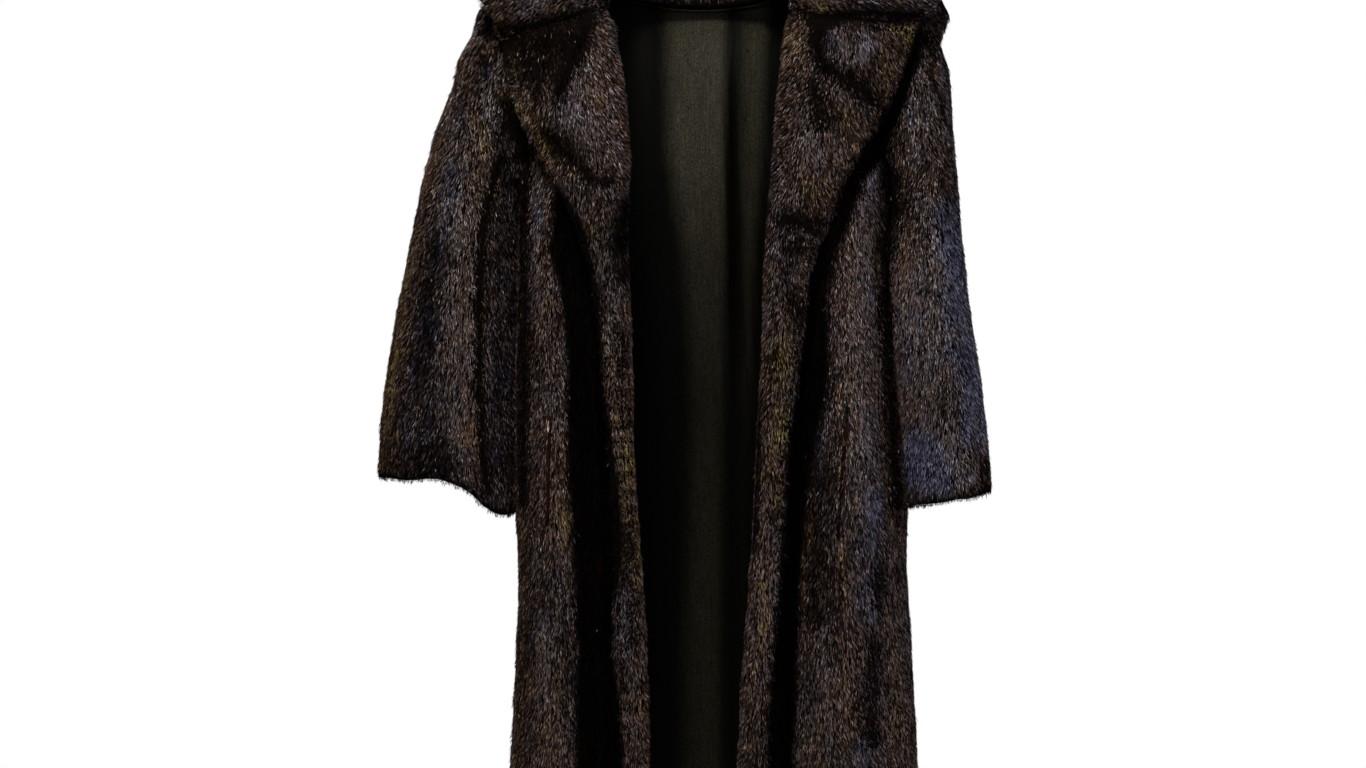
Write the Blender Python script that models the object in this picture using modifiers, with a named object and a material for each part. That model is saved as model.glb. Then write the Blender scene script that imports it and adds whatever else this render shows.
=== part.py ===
"""A full-length dark fur coat, open down the front and filled out as on shoulders, with nobody in it.

Metres, +Z up. The front faces -Y, and left and right are as seen from the front: left is -X.
The origin is between the shoulders, level with the seam at the back of the neck.

Every piece that is cut and sewn is one object: an open surface, thickened outward by Solidify.
"""

import math
from collections import namedtuple

import bmesh
import bpy
from mathutils import Vector

# ---- driving dimensions ----
FUR = 0.006  # leather and underfur of a fur panel
SATIN = 0.0012  # lining
WELT = 0.002  # pocket welts
SEAM = 0.0003  # between neighbouring pieces
CLEAR = 0.0006  # and this much more where one lies on another
CHEST_Z = -0.17  # above this the panels curve back over the shoulders
HEM_Z = -1.165
UNDERARM_Z = -0.225
NECK_CENTRE_X = -0.010
NECK_HALF = 0.112  # neck point, where shoulder seam and neck meet
NECK_Z = 0.022
NECK_DEPTH = 0.078  # back neck curve behind the shoulder seams
NECK_BACK_Z = 0.0
SHOULDER_HALF = 0.232
SHOULDER_Z = 0.006
DOME = 0.72  # exponent of the curve over the shoulders: 1 is an ellipse, less is squarer
ARMHOLE_TURN = 27.0  # degrees of the section that the armhole takes from each panel
ROLL_R = 0.007  # inside radius of the facing where it rolls round the front edge
ROLL_REACH = ROLL_R + FUR + 0.001  # from a panel's own edge to the roll's visible edge
INNER_LEG = 0.018  # facing inside the coat
LAPEL_WIDTH = (0.045, 0.10)  # a facing is a plain rolled edge up to the first, a full lapel from the second
LAPEL_SWELL = 0.35  # how much fuller a lapel's roll is
LAPEL_BOW = 0.010  # how far a lapel bows off its panel at the middle
LAPEL_STAND = 0.010  # and stands off it at the tip
PANEL_LEAN = 1.12  # the panels' walls are this much thicker straight toward the front
LINING_BACK = 0.022  # how far inside the back panel its lining hangs
LINING_FRONT = 0.040  # the front linings hang behind the deepest fold
LINING_SIDE = 0.014  # and both at the side seams
LINING_HEM = 0.022  # the lining ends above the hem
LINING_SEAM = 0.0012  # the linings draw back from the side and shoulder seams
LINING_NAPE = 0.006  # the back lining ends below the collar's seam

LEFT, RIGHT = -1, 1

# The leather side of the body, without folds: its centre and half width, its depth to the front
# and to the back, and its squareness (2 is an ellipse).
Body = namedtuple("Body", "z centre half_width front back square")
BODY = (
    Body(-0.17, -0.005, 0.2045, 0.116, 0.104, 3.1),
    Body(-0.30, -0.007, 0.2025, 0.121, 0.110, 2.9),
    Body(-0.45, -0.003, 0.2085, 0.124, 0.117, 2.7),
    Body(-0.60, 0.003, 0.2150, 0.128, 0.124, 2.6),
    Body(-0.80, 0.004, 0.2265, 0.134, 0.135, 2.5),
    Body(-1.17, 0.004, 0.2440, 0.144, 0.155, 2.4),
)

# Where the fur ends at the opening, and where the lapel or the rolled facing ends on the panel.
Opening = namedtuple("Opening", "z left right left_outer right_outer")
OPENING = (
    Opening(-0.045, -0.110, 0.0790, -0.2330, 0.2310),
    Opening(-0.085, -0.098, 0.0740, -0.2330, 0.2200),
    Opening(-0.125, -0.090, 0.0710, -0.2270, 0.2000),
    Opening(-0.165, -0.088, 0.0690, -0.2070, 0.1740),
    Opening(-0.200, -0.086, 0.0660, -0.1850, 0.1560),
    Opening(-0.240, -0.087, 0.0630, -0.1640, 0.1380),
    Opening(-0.290, -0.092, 0.0570, -0.1430, 0.1120),
    Opening(-0.330, -0.087, 0.0555, -0.1300, 0.1050),
    Opening(-0.400, -0.083, 0.0540, -0.1250, 0.0980),
    Opening(-0.470, -0.083, 0.0500, -0.1130, 0.0890),
    Opening(-0.520, -0.082, 0.0470, -0.1150, 0.0830),
    Opening(-0.600, -0.077, 0.0430, -0.1060, 0.0800),
    Opening(-0.690, -0.070, 0.0380, -0.1060, 0.0765),
    Opening(-0.760, -0.066, 0.0310, -0.1000, 0.0660),
    Opening(-0.880, -0.065, 0.0260, -0.0970, 0.0620),
    Opening(-1.170, -0.062, 0.0220, -0.0940, 0.0590),
)

# Upright folds of the fur panels: where each lies at the top, middle and hem, its spread,
# its depth (a trough is negative), and the height where it starts and is fully formed.
Fold = namedtuple("Fold", "x_top x_middle x_hem spread depth starts formed")
FRONT_FOLDS = {
    LEFT: (
        Fold(-0.158, -0.135, -0.129, 0.0165, -0.034, -0.19, -0.42),
        Fold(-0.178, -0.179, -0.176, 0.0200, 0.008, -0.24, -0.50),
        Fold(-0.205, -0.212, -0.222, 0.0130, -0.004, -0.55, -0.80),
    ),
    RIGHT: (
        Fold(0.134, 0.108, 0.083, 0.0160, -0.032, -0.24, -0.42),
        Fold(0.165, 0.160, 0.150, 0.0200, 0.007, -0.24, -0.50),
        Fold(0.196, 0.197, 0.200, 0.0130, -0.006, -0.50, -0.75),
    ),
}
BACK_FOLDS = (
    Fold(-0.150, -0.165, -0.180, 0.024, -0.010, -0.35, -0.75),
    Fold(-0.070, -0.085, -0.100, 0.026, 0.009, -0.22, -0.70),
    Fold(-0.020, -0.022, -0.026, 0.024, -0.012, -0.15, -0.60),
    Fold(0.060, 0.062, 0.066, 0.026, 0.008, -0.30, -0.75),
    Fold(0.120, 0.132, 0.140, 0.023, -0.013, -0.25, -0.70),
)
LINING_FOLDS = (  # depth is toward the front of the coat
    Fold(-0.120, -0.125, -0.130, 0.016, 0.012, -0.08, -0.40),
    Fold(-0.062, -0.060, -0.052, 0.012, -0.009, -0.02, -0.30),
    Fold(0.018, 0.018, 0.012, 0.010, 0.015, 0.02, -0.12),
    Fold(0.040, 0.041, 0.040, 0.008, -0.012, 0.02, -0.20),
    Fold(0.078, 0.076, 0.084, 0.014, 0.011, -0.04, -0.35),
    Fold(0.130, 0.136, 0.140, 0.015, -0.003, -0.10, -0.40),
)
FOLD_MIDDLE_Z = -0.60

# Sleeve rings below the armhole: outermost and innermost points of the fur, and front-to-back shape.
Ring = namedtuple("Ring", "out_x out_z in_x in_z half_depth y")
SLEEVE_RINGS = {
    LEFT: (
        Ring(0.2640, -0.012, 0.2250, -0.250, 0.073, 0.004),
        Ring(0.2890, -0.058, 0.2230, -0.268, 0.080, 0.004),
        Ring(0.3110, -0.128, 0.2210, -0.302, 0.086, 0.004),
        Ring(0.3330, -0.208, 0.2205, -0.345, 0.088, 0.002),
        Ring(0.3510, -0.300, 0.2210, -0.400, 0.087, 0.000),
        Ring(0.3670, -0.385, 0.2220, -0.458, 0.085, -0.002),
        Ring(0.3810, -0.470, 0.2230, -0.526, 0.082, -0.005),
        Ring(0.3850, -0.553, 0.2245, -0.598, 0.078, -0.010),
    ),
    RIGHT: (
        Ring(0.2600, -0.012, 0.2130, -0.250, 0.074, 0.004),
        Ring(0.2700, -0.058, 0.2100, -0.268, 0.084, 0.004),
        Ring(0.2790, -0.128, 0.2070, -0.302, 0.093, 0.004),
        Ring(0.2870, -0.208, 0.2070, -0.345, 0.099, 0.002),
        Ring(0.2930, -0.300, 0.2110, -0.400, 0.103, 0.000),
        Ring(0.3040, -0.385, 0.2155, -0.458, 0.105, -0.002),
        Ring(0.3170, -0.470, 0.2220, -0.526, 0.106, -0.005),
        Ring(0.3250, -0.574, 0.2290, -0.598, 0.106, -0.010),
    ),
}
CUFF_LIFT = {LEFT: 0.014, RIGHT: 0.002}  # how far the cuff's front and back rise above its ends
# Soft folds down each sleeve: turn round the tube (0 outside, 90 front), spread in degrees,
# height, and how far down the sleeve (0 armhole, 1 cuff) each starts and is fully formed.
SleeveFold = namedtuple("SleeveFold", "turn spread height starts formed")
SLEEVE_FOLDS = {
    LEFT: (
        SleeveFold(118, 16, -0.007, 0.20, 0.95),
        SleeveFold(148, 16, 0.005, 0.35, 0.90),
        SleeveFold(70, 20, 0.004, 0.40, 0.90),
        SleeveFold(235, 22, -0.006, 0.30, 0.80),
    ),
    RIGHT: (
        SleeveFold(100, 18, -0.005, 0.25, 0.90),
        SleeveFold(60, 20, 0.004, 0.40, 0.90),
        SleeveFold(250, 22, -0.006, 0.30, 0.80),
    ),
}

# How far each lapel's tip lies from the line of its top edge.
LAPEL_TIP_RISE = {LEFT: -0.016, RIGHT: 0.010}

# The collar above the gorge, by its place round the neck (degrees from outward toward the nape):
# the way its fall heads, how far its stand leans to the front, its rise, and the reach and the
# height of its fall, with the dip of its edge on each side.
Collar = namedtuple("Collar", "around heading lean rise reach drop left_dip right_dip")
COLLAR = (
    Collar(-40, 8, 64, 0.020, 0.138, 0.012, -0.014, 0.006),
    Collar(0, 14, 6, 0.036, 0.128, 0.009, 0.0, 0.0),
    Collar(40, 48, 0, 0.044, 0.100, -0.016, 0.0, 0.0),
    Collar(90, 90, 0, 0.048, 0.078, -0.050, 0.0, 0.0),
)
COLLAR_GAP = 0.0012  # from the panels' neck edges to the collar's stand
COLLAR_SEAM = 0.004  # how far the stand starts below the back neck's edge
COLLAR_TUCK = (0.013, 0.007)  # how far the stand starts behind the fronts, above the gorge
COLLAR_ROLL = 0.0038  # how far it rolls past the fronts' edges there
GORGE_GAP = (0.0018, 0.0040)  # between collar and lapel, at the roll and at their tips

# Slit pockets: where each welt lies on its front panel.
Pocket = namedtuple("Pocket", "x_top x_foot z_top z_foot")
POCKETS = {
    LEFT: Pocket(-0.1800, -0.1820, -0.488, -0.611),
    RIGHT: Pocket(0.1535, 0.1490, -0.501, -0.623),
}
POCKET_WIDTH = 0.007

FINE = 240  # steps along a section, before its columns are spread
LINING_FINE = 60
FRONT_COLUMNS = 18
BACK_COLUMNS = 19
LINING_COLUMNS = 14
LINING_FRACTIONS = (0, 0.10, 0.22, 0.45, 0.72, 1.0)
SLEEVE_COLUMNS = 18
SLEEVE_ROWS = 10
COLLAR_FRACTIONS = (0, 0.07, 0.15, 0.24, 0.36, 0.52, 0.68, 0.84, 1.0)
BODY_ROWS = (HEM_Z, -1.06, -0.95, -0.85, -0.76, -0.67, -0.59, -0.51, -0.44, -0.37, -0.31)
CHEST_ROWS = (-0.255, -0.205)
DOME_ROWS = (10, 23, 36, 52, 70, 90)  # degrees from the chest to the shoulder seam
GORGE_ROW = 2  # the dome row of the lapel's top edge
EDGE_TOP_Z = -0.03  # the front edges keep to the opening's table up to here
EDGE_TO_NECK = (40, 90)  # degrees over which they leave it for the neck


# ---- curves from the tables ----
def column(rows, name, at, key="z"):
    """A table's column at a key: a smooth curve through its rows, straight on past its ends."""
    rows = sorted(rows, key=lambda row: getattr(row, key))
    keys = [getattr(row, key) for row in rows]
    values = [getattr(row, name) for row in rows]
    last = len(rows) - 1
    slopes = []
    for i in range(last + 1):
        low, high = max(i - 1, 0), min(i + 1, last)
        slopes.append((values[high] - values[low]) / (keys[high] - keys[low]))
    if at <= keys[0]:
        return values[0] + slopes[0] * (at - keys[0])
    if at >= keys[last]:
        return values[last] + slopes[last] * (at - keys[last])
    i = max(k for k in range(last) if keys[k] <= at)
    span = keys[i + 1] - keys[i]
    t = (at - keys[i]) / span
    start = values[i] * (1 + 2 * t) + slopes[i] * span * t
    end = values[i + 1] * (3 - 2 * t) - slopes[i + 1] * span * (1 - t)
    return start * (1 - t) ** 2 + end * t**2


def smooth_step(value, start, end):
    t = min(max((value - start) / (end - start), 0.0), 1.0)
    return t * t * (3 - 2 * t)


def mix(a, b, t):
    return a + (b - a) * t


def spread(points, fractions):
    """Points at the given fractions of a line's length."""
    lengths = [0.0]
    for a, b in zip(points, points[1:]):
        lengths.append(lengths[-1] + (b - a).length)
    found, i = [], 0
    for fraction in fractions:
        goal = fraction * lengths[-1]
        while i < len(points) - 2 and lengths[i + 1] < goal:
            i += 1
        step = lengths[i + 1] - lengths[i]
        found.append(points[i].lerp(points[i + 1], (goal - lengths[i]) / step))
    return found


def evenly(count):
    return [i / (count - 1) for i in range(count)]


def smooth_line(points, steps):
    """A curve through the points, with `steps` stretches between two of them."""
    line = []
    ends = [points[0] * 2 - points[1], *points, points[-1] * 2 - points[-2]]
    for a, b, c, d in zip(ends, ends[1:], ends[2:], ends[3:]):
        for i in range(steps):
            t = i / steps
            line.append(
                (b * 2 + (c - a) * t + (a * 2 - b * 5 + c * 4 - d) * t**2
                 + (b * 3 - a - c * 3 + d) * t**3) / 2
            )
    return [*line, points[-1]]


def fold_height(folds, x, z):
    """How far the folds move the cloth at x and z."""
    total = 0.0
    for fold in folds:
        if z > FOLD_MIDDLE_Z:
            centre = mix(fold.x_middle, fold.x_top, (z - FOLD_MIDDLE_Z) / -FOLD_MIDDLE_Z)
        else:
            down = (FOLD_MIDDLE_Z - z) / (FOLD_MIDDLE_Z - HEM_Z)
            centre = mix(fold.x_middle, fold.x_hem, down)
        formed = smooth_step(-z, -fold.starts, -fold.formed)
        total += fold.depth * formed * math.exp(-(((x - centre) / fold.spread) ** 2) / 2)
    return total


# ---- the body's sections ----
def body_at(z):
    return Body(z, *(column(BODY, name, z) for name in Body._fields[1:]))


def section_point(body, turn):
    """The body's leather side, without folds. Turn is 0 at front centre, 90 at +X, 180 at the back."""
    power = 2 / body.square
    sine, cosine = math.sin(math.radians(turn)), math.cos(math.radians(turn))
    x = body.centre + math.copysign(abs(sine) ** power, sine) * body.half_width
    depth = body.front if cosine > 0 else body.back
    return Vector((x, -math.copysign(abs(cosine) ** power, cosine) * depth, body.z))


def section_normal(body, turn):
    ahead, behind = section_point(body, turn + 1), section_point(body, turn - 1)
    along = ahead - behind
    return Vector((-along.y, along.x, 0)).normalized() * -1


def turn_of_x(body, x):
    """The turn, in degrees from front centre, where the section is at x."""
    out = (x - body.centre) / body.half_width
    share = min(abs(out), 1.0) ** (body.square / 2)
    return math.copysign(math.degrees(math.asin(share)), out)


def armhole_turn(z):
    """Degrees that the armhole takes from each panel at this height of the side."""
    up = (z - UNDERARM_Z) / (SHOULDER_Z - UNDERARM_Z)
    if not 0 < up < 1:
        return 0.0
    return ARMHOLE_TURN * math.sin(math.pi * up) ** 0.6


def top_edge(x, back=False):
    """The top of a panel's leather side at x: the shoulder seam, or the curve of the back neck."""
    out = abs(x - NECK_CENTRE_X) / NECK_HALF
    if back and out < 1:
        round_neck = math.sqrt(1 - out**2)
        return Vector((x, NECK_DEPTH * round_neck, mix(NECK_Z, NECK_BACK_Z, round_neck)))
    down = (out - 1) * NECK_HALF / (SHOULDER_HALF - NECK_HALF)
    return Vector((x, 0, mix(NECK_Z, SHOULDER_Z, min(max(down, 0.0), 1.0))))


def over_shoulder(chest, top, degrees):
    """A chest point carried up the dome to the panel's top edge."""
    angle = math.radians(degrees)
    rise = math.sin(angle) ** DOME
    stay = max(math.cos(angle), 0.0) ** DOME
    x = mix(chest.x, top.x, math.sin(angle) ** 2)
    return Vector((x, mix(top.y, chest.y, stay), mix(CHEST_Z, top.z, rise)))


def side_z(degrees):
    """The height of the panels' sides on a dome row."""
    return mix(CHEST_Z, SHOULDER_Z, math.sin(math.radians(degrees)) ** DOME)


# ---- fur panels ----
def front_edge_x(side, z):
    name = "left" if side == LEFT else "right"
    return column(OPENING, name, z) + side * ROLL_REACH


def front_row(side, z, end_turn, count, folds):
    """A front panel's row at height z, from the front edge to the given turn."""
    body = body_at(z)
    first = turn_of_x(body, front_edge_x(side, z))
    line = []
    for u in evenly(FINE + 1):
        turn = mix(first, side * end_turn, u)
        point = section_point(body, turn)
        height = fold_height(folds, point.x, z)
        line.append(point + section_normal(body, turn) * height)
    return spread(line, evenly(count))


def end_turn_at(z):
    """The turn where a panel ends: at the side seam, or at the armhole above it."""
    return 90 - math.degrees(SEAM / 2 / BODY[0].half_width) - armhole_turn(z)


def front_rows(side, count, folds):
    """Rows of a front panel from the hem to the shoulder seam, each from the front edge out."""
    rows = [front_row(side, z, end_turn_at(z), count, folds) for z in (*BODY_ROWS, *CHEST_ROWS)]
    neck_x = NECK_CENTRE_X + side * NECK_HALF
    for degrees in DOME_ROWS:
        chest = front_row(side, CHEST_Z, end_turn_at(side_z(degrees)), count, folds)
        edge_z = min(mix(CHEST_Z, NECK_Z, math.sin(math.radians(degrees)) ** DOME), EDGE_TOP_Z)
        shift = front_edge_x(side, edge_z) - front_edge_x(side, CHEST_Z)
        shift *= 1 - smooth_step(degrees, *EDGE_TO_NECK)
        row = []
        for u, point in zip(evenly(count), chest):
            top = top_edge(mix(neck_x, side * SHOULDER_HALF, u))
            moved = point + Vector((shift * (1 - u), 0, 0))
            lifted = over_shoulder(moved, top, degrees)
            lifted.y -= SEAM / 2 * math.sin(math.radians(degrees))
            row.append(lifted)
        rows.append(row)
    return rows


def back_row(z, end_turn, count, folds):
    """A row of the back panel at height z, from -X to +X."""
    body = body_at(z)
    line = []
    for u in evenly(FINE + 1):
        around = 180 - mix(-end_turn, end_turn, u)
        point = section_point(body, around)
        height = fold_height(folds, point.x, z)
        line.append(point + section_normal(body, around) * height)
    return spread(line, evenly(count))


def back_rows(count, folds):
    """Rows of the back panel from the hem to the shoulder seams and the neck, from -X to +X."""
    rows = [back_row(z, end_turn_at(z), count, folds) for z in (*BODY_ROWS, *CHEST_ROWS)]
    for degrees in DOME_ROWS:
        chest = back_row(CHEST_Z, end_turn_at(side_z(degrees)), count, folds)
        row = []
        for u, point in zip(evenly(count), chest):
            top = top_edge(mix(-SHOULDER_HALF, SHOULDER_HALF, u), back=True)
            lifted = over_shoulder(point, top, degrees)
            lifted.y += SEAM / 2 * math.sin(math.radians(degrees))
            row.append(lifted)
        rows.append(row)
    return rows


def armhole_ring(side):
    """The armhole, from the shoulder down the front, past the underarm and up the back."""
    ring = []
    for i in range(SLEEVE_COLUMNS):
        around = 2 * math.pi * i / SLEEVE_COLUMNS
        up = (1 + math.cos(around)) / 2
        z = mix(UNDERARM_Z, SHOULDER_Z, up)
        forward = math.sin(around) >= 0
        turn = 90 - armhole_turn(z) if forward else 90 + armhole_turn(z)
        if z <= CHEST_Z:
            point = section_point(body_at(z), side * turn)
        else:
            rise = (z - CHEST_Z) / (SHOULDER_Z - CHEST_Z)
            degrees = math.degrees(math.asin(rise ** (1 / DOME)))
            chest = section_point(body_at(CHEST_Z), side * turn)
            point = over_shoulder(chest, top_edge(side * SHOULDER_HALF), degrees)
        # The sleeve's wall is clear of the panels' walls: they turn into a valley below the tip.
        clear = mix(0.0010, 0.0140, (1 - up) ** 0.7)
        ring.append(point + Vector((side * clear, 0, 0)))
    return ring


def sleeve_rings(side):
    """The leather side of a sleeve, as closed rings from the armhole to the cuff."""
    keys = [armhole_ring(side)]
    for ring in SLEEVE_RINGS[side]:
        outer = Vector((side * (ring.out_x - FUR), ring.y, ring.out_z))
        inner = Vector((side * (ring.in_x + FUR), ring.y, ring.in_z))
        centre, arm = (outer + inner) / 2, (outer - inner) / 2
        across = Vector((0, -(ring.half_depth - FUR), 0))
        points = []
        cuff = smooth_step(-ring.out_z, 0.40, 0.56) * CUFF_LIFT[side]
        for i in range(SLEEVE_COLUMNS):
            around = 2 * math.pi * i / SLEEVE_COLUMNS
            point = centre + arm * math.cos(around) + across * math.sin(around)
            point.z += cuff * math.sin(around) ** 2
            points.append(point)
        keys.append(points)
    lines = [spread(smooth_line(list(line), 6), evenly(SLEEVE_ROWS)) for line in zip(*keys)]
    rings = [list(ring) for ring in zip(*lines)]
    for down, ring in zip(evenly(SLEEVE_ROWS), rings):
        centre = sum(ring, Vector()) / len(ring)
        for i, point in enumerate(ring):
            around = 360 * i / SLEEVE_COLUMNS
            height = sum(
                fold.height * smooth_step(down, fold.starts, fold.formed)
                * math.exp(-(((around - fold.turn) / fold.spread) ** 2) / 2)
                for fold in SLEEVE_FOLDS[side]
            )
            ring[i] = point + (point - centre).normalized() * height
    return rings


# ---- facings with their lapels, collar ----
def row_normals(rows, side):
    """Outward normals of a panel's grid, worked out from its rows and columns."""
    normals = []
    for j, row in enumerate(rows):
        low, high = rows[max(j - 1, 0)], rows[min(j + 1, len(rows) - 1)]
        line = []
        for i in range(len(row)):
            across = row[min(i + 1, len(row) - 1)] - row[max(i - 1, 0)]
            up = high[i] - low[i]
            line.append(across.cross(up).normalized() * side)
        normals.append(line)
    return normals


def along_row(row, distance):
    """The point at a distance along a row."""
    for a, b in zip(row, row[1:]):
        step = (b - a).length
        if distance <= step:
            return a.lerp(b, distance / step)
        distance -= step
    return row[-1]


def row_at_x(row, x):
    """The point of a row at x, and level with its end beyond it."""
    for a, b in zip(row, row[1:]):
        if abs(b.x) > abs(a.x) and abs(x) <= abs(b.x):
            return a.lerp(b, max((x - a.x) / (b.x - a.x), 0.0))
    return Vector((x, row[-1].y, row[-1].z))


def facing_rows(side):
    """Rows of a facing from the hem to the gorge: inner leg, roll round the edge, outer leg."""
    panel = front_rows(side, FRONT_COLUMNS, FRONT_FOLDS[side])
    bridge = front_rows(side, FRONT_COLUMNS, ())
    normals = row_normals(panel, side)
    outer_name = "left_outer" if side == LEFT else "right_outer"
    last = len(BODY_ROWS) + len(CHEST_ROWS) + GORGE_ROW
    rows = []
    for j in range(last + 1):
        row, edge, normal = panel[j], panel[j][0], normals[j][0]
        first = normals[j][1]
        outer_x = column(OPENING, outer_name, edge.z)
        lapel = smooth_step(abs(outer_x - edge.x), *LAPEL_WIDTH)
        beyond = (row[0] - row[1]).normalized()
        middle = edge + normal * (FUR / 2)
        points = []
        for share in (1.0, 0.5):
            back = along_row(row, INNER_LEG * share)
            off = mix(ROLL_R - FUR / 2, SEAM + CLEAR, share)
            points.append(back - normal.lerp(first, share) * off)
        for degrees in (-90, -50, -10, 30, 60, 90):
            angle = math.radians(degrees)
            swell = 1 + LAPEL_SWELL * lapel * smooth_step(degrees, -10, 90)
            points.append(
                middle + beyond * (math.cos(angle) * ROLL_R)
                + normal * (math.sin(angle) * ROLL_R * swell)
            )
        for share in (0.18, 0.38, 0.60, 0.80, 1.0):
            on = row_at_x(bridge[j], mix(edge.x, outer_x, share))
            least = FUR * PANEL_LEAN + SEAM + CLEAR
            lift = mix(ROLL_R + FUR / 2, least, smooth_step(share, 0.0, 0.8))
            stand = lapel * (LAPEL_BOW * math.sin(math.pi * share) + LAPEL_STAND * share**2)
            rise = LAPEL_TIP_RISE[side] * share**2 * smooth_step(j, last - 3.5, last)
            points.append(Vector((on.x, on.y - lift - stand, on.z + rise)))
        rows.append(points)
    return rows


def collar_section(edge, side, tucked=None):
    """One section of the collar over a point of the neck's edge: seam, stand, roll and fall."""
    out = Vector((edge.x - NECK_CENTRE_X, edge.y, 0))
    around = math.degrees(math.atan2(out.y, abs(out.x)))
    row = Collar(around, *(column(COLLAR, name, around, "around") for name in Collar._fields[1:]))
    heading, lean = math.radians(row.heading), math.radians(row.lean)
    outward = Vector((side * math.cos(heading), math.sin(heading), 0))
    up = Vector((0, -math.sin(lean), math.cos(lean)))
    foot = edge - outward * (COLLAR_ROLL if tucked else COLLAR_GAP)
    dip = row.left_dip if side == LEFT else row.right_dip
    shape = [
        foot,
        foot + up * (row.rise * 0.55),
        foot + outward * 0.014 + up * row.rise,
        foot + outward * (row.reach * 0.50) + up * mix(row.drop, row.rise, 0.62),
        foot + outward * row.reach + up * row.drop + Vector((0, 0, dip)),
    ]
    below = tucked or foot - up * COLLAR_SEAM
    return [below, *spread(smooth_line(shape, 8), COLLAR_FRACTIONS)]


def gorge_section(side):
    """The collar's end: the lapel's top edge, moved up by a seam."""
    leg_end, _, *rest = facing_rows(side)[-1]
    section = [leg_end, *spread(rest, COLLAR_FRACTIONS)]
    across = (0, *COLLAR_FRACTIONS)
    return [point + Vector((0, 0, mix(*GORGE_GAP, u))) for u, point in zip(across, section)]


def collar_rows():
    """Sections of the collar from the left gorge round the neck to the right gorge."""
    sections = {LEFT: [gorge_section(LEFT)], RIGHT: [gorge_section(RIGHT)]}
    first = len(BODY_ROWS) + len(CHEST_ROWS) + GORGE_ROW + 1
    for side, found in sections.items():
        panel = front_rows(side, FRONT_COLUMNS, ())
        normals = row_normals(panel, side)
        for row, line, tuck in zip(panel[first:], normals[first:], (*COLLAR_TUCK, 0)):
            behind = along_row(row, tuck) - line[0] * (SEAM + CLEAR) if tuck else None
            found.append(collar_section(row[0], side, behind))
    nape = back_rows(BACK_COLUMNS, ())[-1]
    inside = [point for point in nape if abs(point.x - NECK_CENTRE_X) < NECK_HALF - 0.004]
    round_nape = [collar_section(p, LEFT if p.x < NECK_CENTRE_X else RIGHT) for p in inside]
    return [*sections[LEFT], *round_nape, *reversed(sections[RIGHT])]


# ---- linings and pocket welts ----
def lining_hem(rows):
    """Lifts the lowest row of a lining above the coat's hem."""
    for point in rows[0]:
        point.z += LINING_HEM
    return rows


def lining_back_rows():
    """The back lining: it hangs inside the back panel in loose upright folds."""
    rows = back_rows(LINING_FINE + 1, ())
    normals = row_normals(rows, LEFT)
    moved = []
    for j, (row, line) in enumerate(zip(rows, normals)):
        at_top = smooth_step(j, len(rows) - 6, len(rows) - 1)
        points = []
        for u, point, normal in zip(evenly(LINING_FINE + 1), row, line):
            middle = smooth_step(min(u, 1 - u), 0.0, 0.15)
            deep = mix(LINING_SIDE, LINING_BACK, middle)
            deep += middle * fold_height(LINING_FOLDS, point.x, point.z)
            points.append(point - normal * mix(deep, FUR / 2, at_top))
        moved.append(spread(points, evenly(LINING_COLUMNS)))
    for point in moved[-1]:
        point.y += LINING_SEAM
        point.z -= LINING_NAPE
    return lining_hem(moved)


def lining_front_rows(side):
    """A front lining: a smooth sheet behind the folds, from the facing to the side seam."""
    count = LINING_FINE + 1
    panel = front_rows(side, count, ())
    normals = row_normals(panel, side)
    rows = []
    for row, line in zip(panel, normals):
        moved = []
        skip = next(i for i in range(count) if (row[i] - row[0]).length > INNER_LEG + LINING_SEAM)
        for i in range(skip, count):
            u = (i - skip) / (count - 1 - skip)
            low = 1 - smooth_step(row[i].z, -0.28, -0.17)
            fold = max(-fold_height(FRONT_FOLDS[side], row[i].x, row[i].z), 0.0)
            deep = mix(LINING_SIDE, LINING_FRONT, low * (1 - smooth_step(u, 0.5, 1.0)))
            deep = mix(FUR / 2 + 2 * SEAM + fold, deep, smooth_step(u, 0.0, 0.13))
            moved.append(row[i] - line[i] * deep)
        moved[-1].y -= LINING_SEAM
        rows.append(spread(moved, LINING_FRACTIONS))
    for point in rows[-1]:
        point.y -= LINING_SEAM
    return lining_hem(rows)


def pocket_rows(side):
    """A pocket's welt, from the panel's points moved out."""
    pocket = POCKETS[side]
    rows = []
    for t in evenly(5):
        z = mix(pocket.z_foot, pocket.z_top, t)
        middle = mix(pocket.x_foot, pocket.x_top, t)
        panel = front_row(side, z, end_turn_at(z), FINE + 1, FRONT_FOLDS[side])
        row = []
        for across in (-0.5, 0.0, 0.5):
            x = middle + side * across * POCKET_WIDTH
            i = min(range(1, FINE), key=lambda k: abs(panel[k].x - x))
            along = panel[i + 1] - panel[i - 1]
            normal = Vector((along.y, -along.x, 0)).normalized() * side
            row.append(panel[i] + normal * (FUR + SEAM + CLEAR))
        rows.append(row)
    return rows


# ---- objects ----
def finish(name, colour, roughness, sheen=0.0):
    material = bpy.data.materials.new(name)
    material.use_nodes = True
    shader = material.node_tree.nodes["Principled BSDF"]
    shader.inputs["Base Color"].default_value = (*colour, 1.0)
    shader.inputs["Roughness"].default_value = roughness
    shader.inputs["Metallic"].default_value = 0.0
    shader.inputs["Sheen Weight"].default_value = sheen
    return material


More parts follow.
